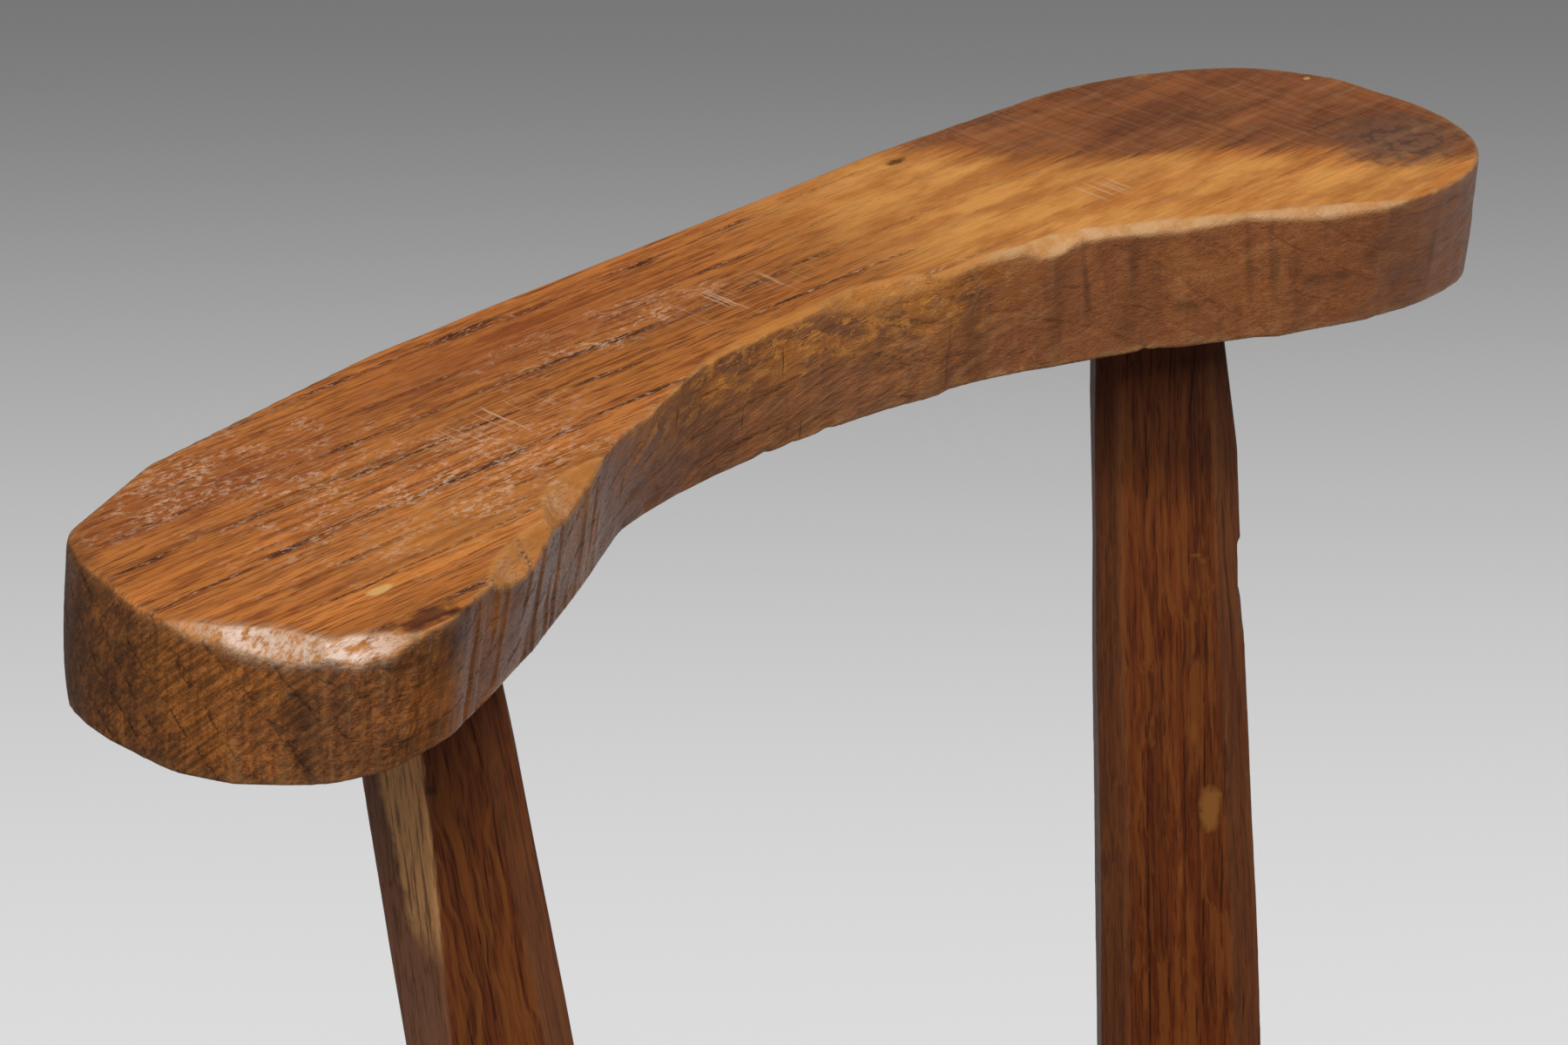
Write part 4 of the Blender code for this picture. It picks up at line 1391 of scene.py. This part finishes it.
def lay_scuffs(tree, where, colour):
    """Pale torn flecks and fine scratches on the top, where things were put down and dragged."""
    flecks = fade(tree, mottle(tree, where, (260.0, 560.0, 300.0), 5.0, 0.75), 0.49, 0.58)
    torn = fade(tree, mottle(tree, where, (70.0, 110.0, 70.0), 3.0, 0.6), 0.44, 0.58, 0.20, 1.0)
    flecks = times(tree, flecks, torn)
    lines = fade(tree, mottle(tree, where, (760.0, 16.0, 30.0), 1.0), 0.60, 0.68)
    for pattern, places, share in ((flecks, SCUFF_PLACES, 0.64), (lines, SCRATCH_PLACES, 0.60)):
        for (x, y), (reach_x, reach_y) in places:
            reach = (reach_x * MM, reach_y * MM, SCUFF_DEPTH)
            mask = spot_mask(tree, where, on_crest(x, y), reach, 0.8, 1.0)
            colour = lay(tree, colour, PALE_SCUFF_AND_GLINT_OAK, mask, pattern, share)
    return colour


print(len(SCUFF_PLACES), "scuffed and", len(SCRATCH_PLACES), "scratched places")

# %% Crest finish
RUBBED_OAK = (0.60, 0.330, 0.140, 1.0)
PARED_OAK = (0.66, 0.260, 0.052, 1.0)
STRIP_OAK = (0.80, 0.480, 0.240, 1.0)
# The pale colour of the left tip's gleam is a painted highlight.
PAINTED_GLEAM_OAK = (0.94, 0.740, 0.600, 1.0)


def oak_colours(**named):
    """Colours for the sockets of the oak figure, from names in small letters."""
    return {name.capitalize(): (*colour, 1.0) for name, colour in named.items()}


crest_oak = oak_colours(
    late=(0.58, 0.194, 0.041), early=(0.24, 0.058, 0.014), streak=(0.24, 0.058, 0.016),
    pore=(0.045, 0.011, 0.005), ray=(0.62, 0.225, 0.045),
)


def build_crest_finish():
    made, tree, shader = new_finish("waxed_crest_oak")
    grain = read_attribute(tree, "grain", "Vector")
    figure = place_group(tree, oak_figure, Place=grain, Ring_Width=9.6 * MM, **crest_oak)
    where = object_place(tree)
    along = split_axes(tree, where)["X"]
    worn, pared, level, tip_gleam = [
        read_attribute(tree, name) for name in ("worn", "pared", "level", "tip_gleam")
    ]
    upright = minus(tree, 1.0, level)

    colour = golden_and_dark(tree, where, level, figure["Colour"])
    colour = upright_faces(tree, where, level, colour)
    colour = lay(tree, colour, PARED_OAK, pared, 0.55)
    rows = times(tree, figure["Rows"], fade(tree, along, 0.02, 0.10, 1.0, 0.2))
    colour = open_rows(tree, grain, rows, level, colour)
    uneven = fade(tree, mottle(tree, where, (160.0, 160.0, 160.0), 3.0), 0.34, 0.60, 0.25, 0.80)
    colour = lay(tree, colour, STRIP_OAK, pared, fade(tree, along, 0.062, 0.084), uneven)
    brushed = mottle(tree, where, (70.0, 520.0, 520.0), 4.0, 0.7)
    # On the chamfer of the left tip, streaks of a painted highlight, with a clear coat on the same streaks.
    painted_gleam_and_coat = times(
        tree,
        tip_gleam,
        fade(tree, brushed, 0.37, 0.60),
        fade(tree, along, -0.256, -0.244, 0.25, 1.0),
        fade(tree, along, -0.232, -0.212, 1.0, 0.20),
    )
    colour = lay(tree, colour, PAINTED_GLEAM_OAK, painted_gleam_and_coat, 0.70)
    colour = knot_swirl(tree, where, colour)
    colour = lay_spots(tree, where, colour, CREST_MARKS, on_crest)
    colour = lay_scuffs(tree, where, colour)
    wear = fade(tree, mottle(tree, where, (120.0, 120.0, 120.0), 3.0), 0.36, 0.60, 0.25, 0.85)
    colour = lay(tree, colour, RUBBED_OAK, worn, wear, fade(tree, along, -0.01, 0.07, 0.45, 1.0))

    at_left = times(tree, fade(tree, along, -0.258, -0.236, 1.0, 0.0), upright)
    gloss = plus(tree, 0.33, times(tree, figure["Pores"], 0.25))
    gloss = plus(tree, minus(tree, gloss, times(tree, pared, 0.10)), times(tree, at_left, 0.30))
    ragged = mottle(tree, place_along(tree, where, HOLLOW_FIBRES), (90.0, 300.0, 300.0), 5.0, 0.75)
    ragged = times(tree, ragged, fade(tree, along, -0.105, -0.085), upright, 6.0)
    height = plus(tree, figure["Height"], times(tree, brushed, tip_gleam, 5.0), ragged)
    wax(tree, shader, colour, gloss, height, 0.45)
    tree.links.new(painted_gleam_and_coat, shader["Coat Weight"])
    shader["Coat Roughness"].default_value = 0.22
    return made


crest_finish = build_crest_finish()
print(crest_finish.name, len(crest_finish.node_tree.nodes), "nodes")


# %% [markdown]
# ## Marks on the posts
# The posts come from redder, darker stock than the crest. Golden streaks wander up them, the left one has
# pale sapwood on its pared flat, and both have a few chips. Their hewn corners carry a painted sheen, a pale
# painted reflection of the floor. Near the crest they are painted darker, partly painted shade of the
# crest's shadow and partly darker wood. The sapwood follows the log, so it is placed in the log's space. The
# rest has a place on the post.

# %% Post marks
POST_FRONT = 24.0 * MM


def on_post(side, across, height):
    """A place on the front of a post from millimetres across it, as the viewer sees it, and a height."""
    return on_axis(post_axes[side], height * MM) + VIEW_RIGHT * across * MM + VIEW_FRONT * POST_FRONT


POST_MARKS = (
    (("right", 10.8, 586.0), (4.5, 4.5, 9.5), 0.5, 1.0, 0.85, (0.400, 0.170, 0.040, 1.0)),
    (("right", 0.0, 556.0), (1.2, 1.2, 19.0), 0.6, 0.8, 0.70, (0.340, 0.125, 0.028, 1.0)),
    (("right", 6.0, 611.0), (1.4, 1.4, 8.0), 0.6, 0.8, 0.60, (0.320, 0.120, 0.028, 1.0)),
    (("right", 8.6, 671.4), (2.2, 4.0, 0.8), 0.8, 1.2, 0.55, (0.340, 0.130, 0.032, 1.0)),
    (("right", 11.0, 669.6), (0.9, 4.0, 1.8), 0.8, 1.2, 0.60, (0.340, 0.130, 0.032, 1.0)),
    (("left", -0.5, 708.0), (3.4, 3.4, 3.0), 0.7, 1.6, 0.75, (0.030, 0.011, 0.005, 1.0)),
    (("left", -2.0, 738.0), (9.0, 9.0, 6.0), 0.9, 2.2, 0.70, (0.045, 0.016, 0.006, 1.0)),
)
STREAK_OAK = (0.310, 0.098, 0.019, 1.0)
FLAT_OAKS = ((0.390, 0.178, 0.094, 1.0), (0.170, 0.068, 0.028, 1.0))
SAP_OAKS = ((0.95, 0.490, 0.190, 1.0), (0.36, 0.150, 0.060, 1.0))
# A pale greyish painted sheen on the hewn corners, a painted reflection of the pale floor.
PAINTED_SHEEN_OAK = (0.230, 0.115, 0.062, 1.0)
SAP_REACH = (0.120, 0.0180, 0.040)
SAP_HEIGHT = 752.0 * MM
SAP_OFFSET = Vector((0.0, -11.5 * MM, 20.0 * MM))


def mark_posts(tree, place, colour):
    """Golden streaks, sapwood on the left post's flat, a painted sheen on the corners, chips, and a
    darkening where a post nears the crest that is partly painted shade and partly darker wood.
    """
    where = object_place(tree)
    parts = split_axes(tree, where)
    pared = read_attribute(tree, "pared")

    def by_side(left, right):
        """One value on the left post and another on the right one."""
        return fade(tree, parts["X"], -0.05, 0.05, left, right)

    sway = minus(tree, mottle(tree, place, (26.0, 40.0, 40.0)), 0.5)
    wavy = vector_maths(tree, "ADD", place, tone(tree, (0.0, 0.010, 0.010), sway))
    streaks = fade(tree, mottle(tree, wavy, (14.0, 400.0, 400.0), 3.0, 0.6), 0.49, 0.61)
    colour = lay(tree, colour, STREAK_OAK, streaks, 0.60)
    fibres = mottle(tree, place, (22.0, 560.0, 560.0), 4.0, 0.7)
    lines = fade(tree, fibres, 0.47, 0.62)
    colour = lay(tree, colour, blend_colour(tree, lines, *FLAT_OAKS), pared, by_side(0.62, 0.0))

    sap_along = (on_axis(post_axes["left"], SAP_HEIGHT) - post_axes["left"][0]).length
    sap_middle = Vector(POST_LOG_PLACES["left"]) + Vector((sap_along, 0.0, 0.0)) + SAP_OFFSET
    sap_end = plus(tree, parts["Z"], times(tree, fibres, 0.06))
    sap = times(
        tree,
        spot_mask(tree, place, sap_middle, SAP_REACH, 0.2, 0.35),
        pared,
        fade(tree, sap_end, crest_low.z - 0.067, crest_low.z - 0.051),
    )
    colour = lay(tree, colour, blend_colour(tree, lines, *SAP_OAKS), sap, 0.95)
    # Painted sheen on the corners, weaker over the sapwood.
    corner = times(tree, read_attribute(tree, "corner"), minus(tree, 0.45, sap))
    colour = lay(tree, colour, PAINTED_SHEEN_OAK, maths(tree, "MAXIMUM", corner, 0.0))
    colour = lay_spots(tree, where, colour, POST_MARKS, on_post)
    colour = tone(tree, colour, by_side(1.02, 0.88))
    # Painted shade of the crest's shadow, partly darker wood: darker near the crest, less on the left post
    # and least on its sapwood.
    near = times(tree, fade(tree, parts["Z"], crest_low.z - 0.066, crest_low.z - 0.040), by_side(0.40, 1.0))
    painted_shade_share = minus(tree, 0.76, times(tree, sap, 0.70))
    return lay(tree, colour, tone(tree, colour, 0.35), near, painted_shade_share)


print(len(POST_MARKS), "marks on the posts")

# %% [markdown]
# ## Plain finishes
# The legs are of the posts' stock, and the seat is of boards like the crest. The wedges are raw oak, split
# along the grain, and the dowels are turned beech. All share the oak figure and differ in colour and ring
# width. Wedges and dowels are the frame's own pieces, so their figure is read from Object coordinates,
# turned so that the grain runs along each piece.

# %% Plain oak finishes
def build_oak_finish(name, colours, ring_width, rough, rubbed=None, mark=None, turn=None):
    """Oak in those colours. A function may lay marks over it, and a turn stands in for grain of its own."""
    made, tree, shader = new_finish(name)
    place = turned_place(tree, object_place(tree), turn) if turn else read_attribute(tree, "grain", "Vector")
    figure = place_group(tree, oak_figure, Place=place, Ring_Width=ring_width, **colours)
    colour = figure["Colour"]
    gloss = plus(tree, rough, times(tree, figure["Pores"], 0.25))
    if mark:
        colour = mark(tree, place, colour)
        gloss = plus(tree, gloss, times(tree, read_attribute(tree, "corner"), 0.40))
    if rubbed:
        colour = lay(tree, colour, rubbed, read_attribute(tree, "worn"), 0.45)
    wax(tree, shader, colour, gloss, figure["Height"], 0.35)
    return made


red_oak = oak_colours(
    late=(0.195, 0.048, 0.011), early=(0.120, 0.027, 0.008), streak=(0.095, 0.019, 0.005),
    pore=(0.040, 0.011, 0.004), ray=(0.22, 0.070, 0.020),
)
honey_oak = oak_colours(
    late=(0.40, 0.138, 0.033), early=(0.22, 0.064, 0.016), streak=(0.25, 0.068, 0.016),
    pore=(0.055, 0.014, 0.005), ray=(0.46, 0.19, 0.06),
)
pale_oak = oak_colours(
    late=(0.46, 0.22, 0.07), early=(0.28, 0.11, 0.03), streak=(0.34, 0.15, 0.05),
    pore=(0.09, 0.03, 0.012), ray=(0.52, 0.28, 0.11),
)
beech = oak_colours(
    late=(0.56, 0.34, 0.16), early=(0.48, 0.27, 0.12), streak=(0.46, 0.25, 0.11),
    pore=(0.30, 0.15, 0.06), ray=(0.62, 0.42, 0.24),
)
post_finish = build_oak_finish(
    "waxed_post_oak", red_oak, 2.8 * MM, rough=0.56, rubbed=(0.27, 0.115, 0.050, 1.0), mark=mark_posts,
)
leg_finish = build_oak_finish(
    "waxed_leg_oak", red_oak, 4.2 * MM, rough=0.42, rubbed=(0.30, 0.135, 0.060, 1.0),
)
seat_finish = build_oak_finish(
    "waxed_seat_oak", honey_oak, 5.2 * MM, rough=0.38, rubbed=(0.52, 0.26, 0.10, 1.0),
)
wedge_finish = build_oak_finish(
    "pale_wedge_oak", pale_oak, 3.0 * MM, rough=0.50, turn=(0.0, math.pi / 2, 0.0),
)
dowel_finish = build_oak_finish("raw_dowel_beech", beech, 3.5 * MM, rough=0.58, turn=(0.2, 0.0, 0.0))
print("five plain finishes")

# %% [markdown]
# ## Assembly
# Each carved piece takes the place of one plain solid of the frame. It rides with the frame's only body,
# because a chair of glued and wedged joints doesn't move, and it takes its finish.

# %% Place in the frame
stand_ins = {crest: ("crest_rail", "crest_oak", crest_finish)}
for side, post in posts.items():
    stand_ins[post] = (f"back_post_{side}", "post_oak", post_finish)
for name, board in boards.items():
    stand_ins[board] = (f"seat_board_{name}", "seat_oak", seat_finish)
for name, leg in legs.items():
    stand_ins[leg] = (f"leg_{name}", "leg_oak", leg_finish)
for piece, (node, slot, finish) in stand_ins.items():
    piece.data.materials.clear()
    piece.data.materials.append(finish)
    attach(piece, "root")
    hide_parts(node)
print(len(stand_ins), "pieces placed")

# %% [markdown]
# ## Wedges and dowels
# Wedges are split from straight oak and dowels are turned from beech. Both hide in their joints and need no
# carving, so the frame's own solids stay and only take a finish.

# %% Finish the frame's own wedges and dowels
KEPT_FINISHES = {"wedge": ("wedge_oak", wedge_finish), "dowel": ("dowel_beech", dowel_finish)}
for node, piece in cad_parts.items():
    for kind, (slot, finish) in KEPT_FINISHES.items():
        if kind in node:
            piece.data.materials.clear()
            piece.data.materials.append(finish)
print("wedges and dowels finished")

# %% [markdown]
# ## Update
# Last, the scene is brought up to date. Its box has to lie within the frame's box.

# %% Update the scene
bpy.context.view_layer.update()
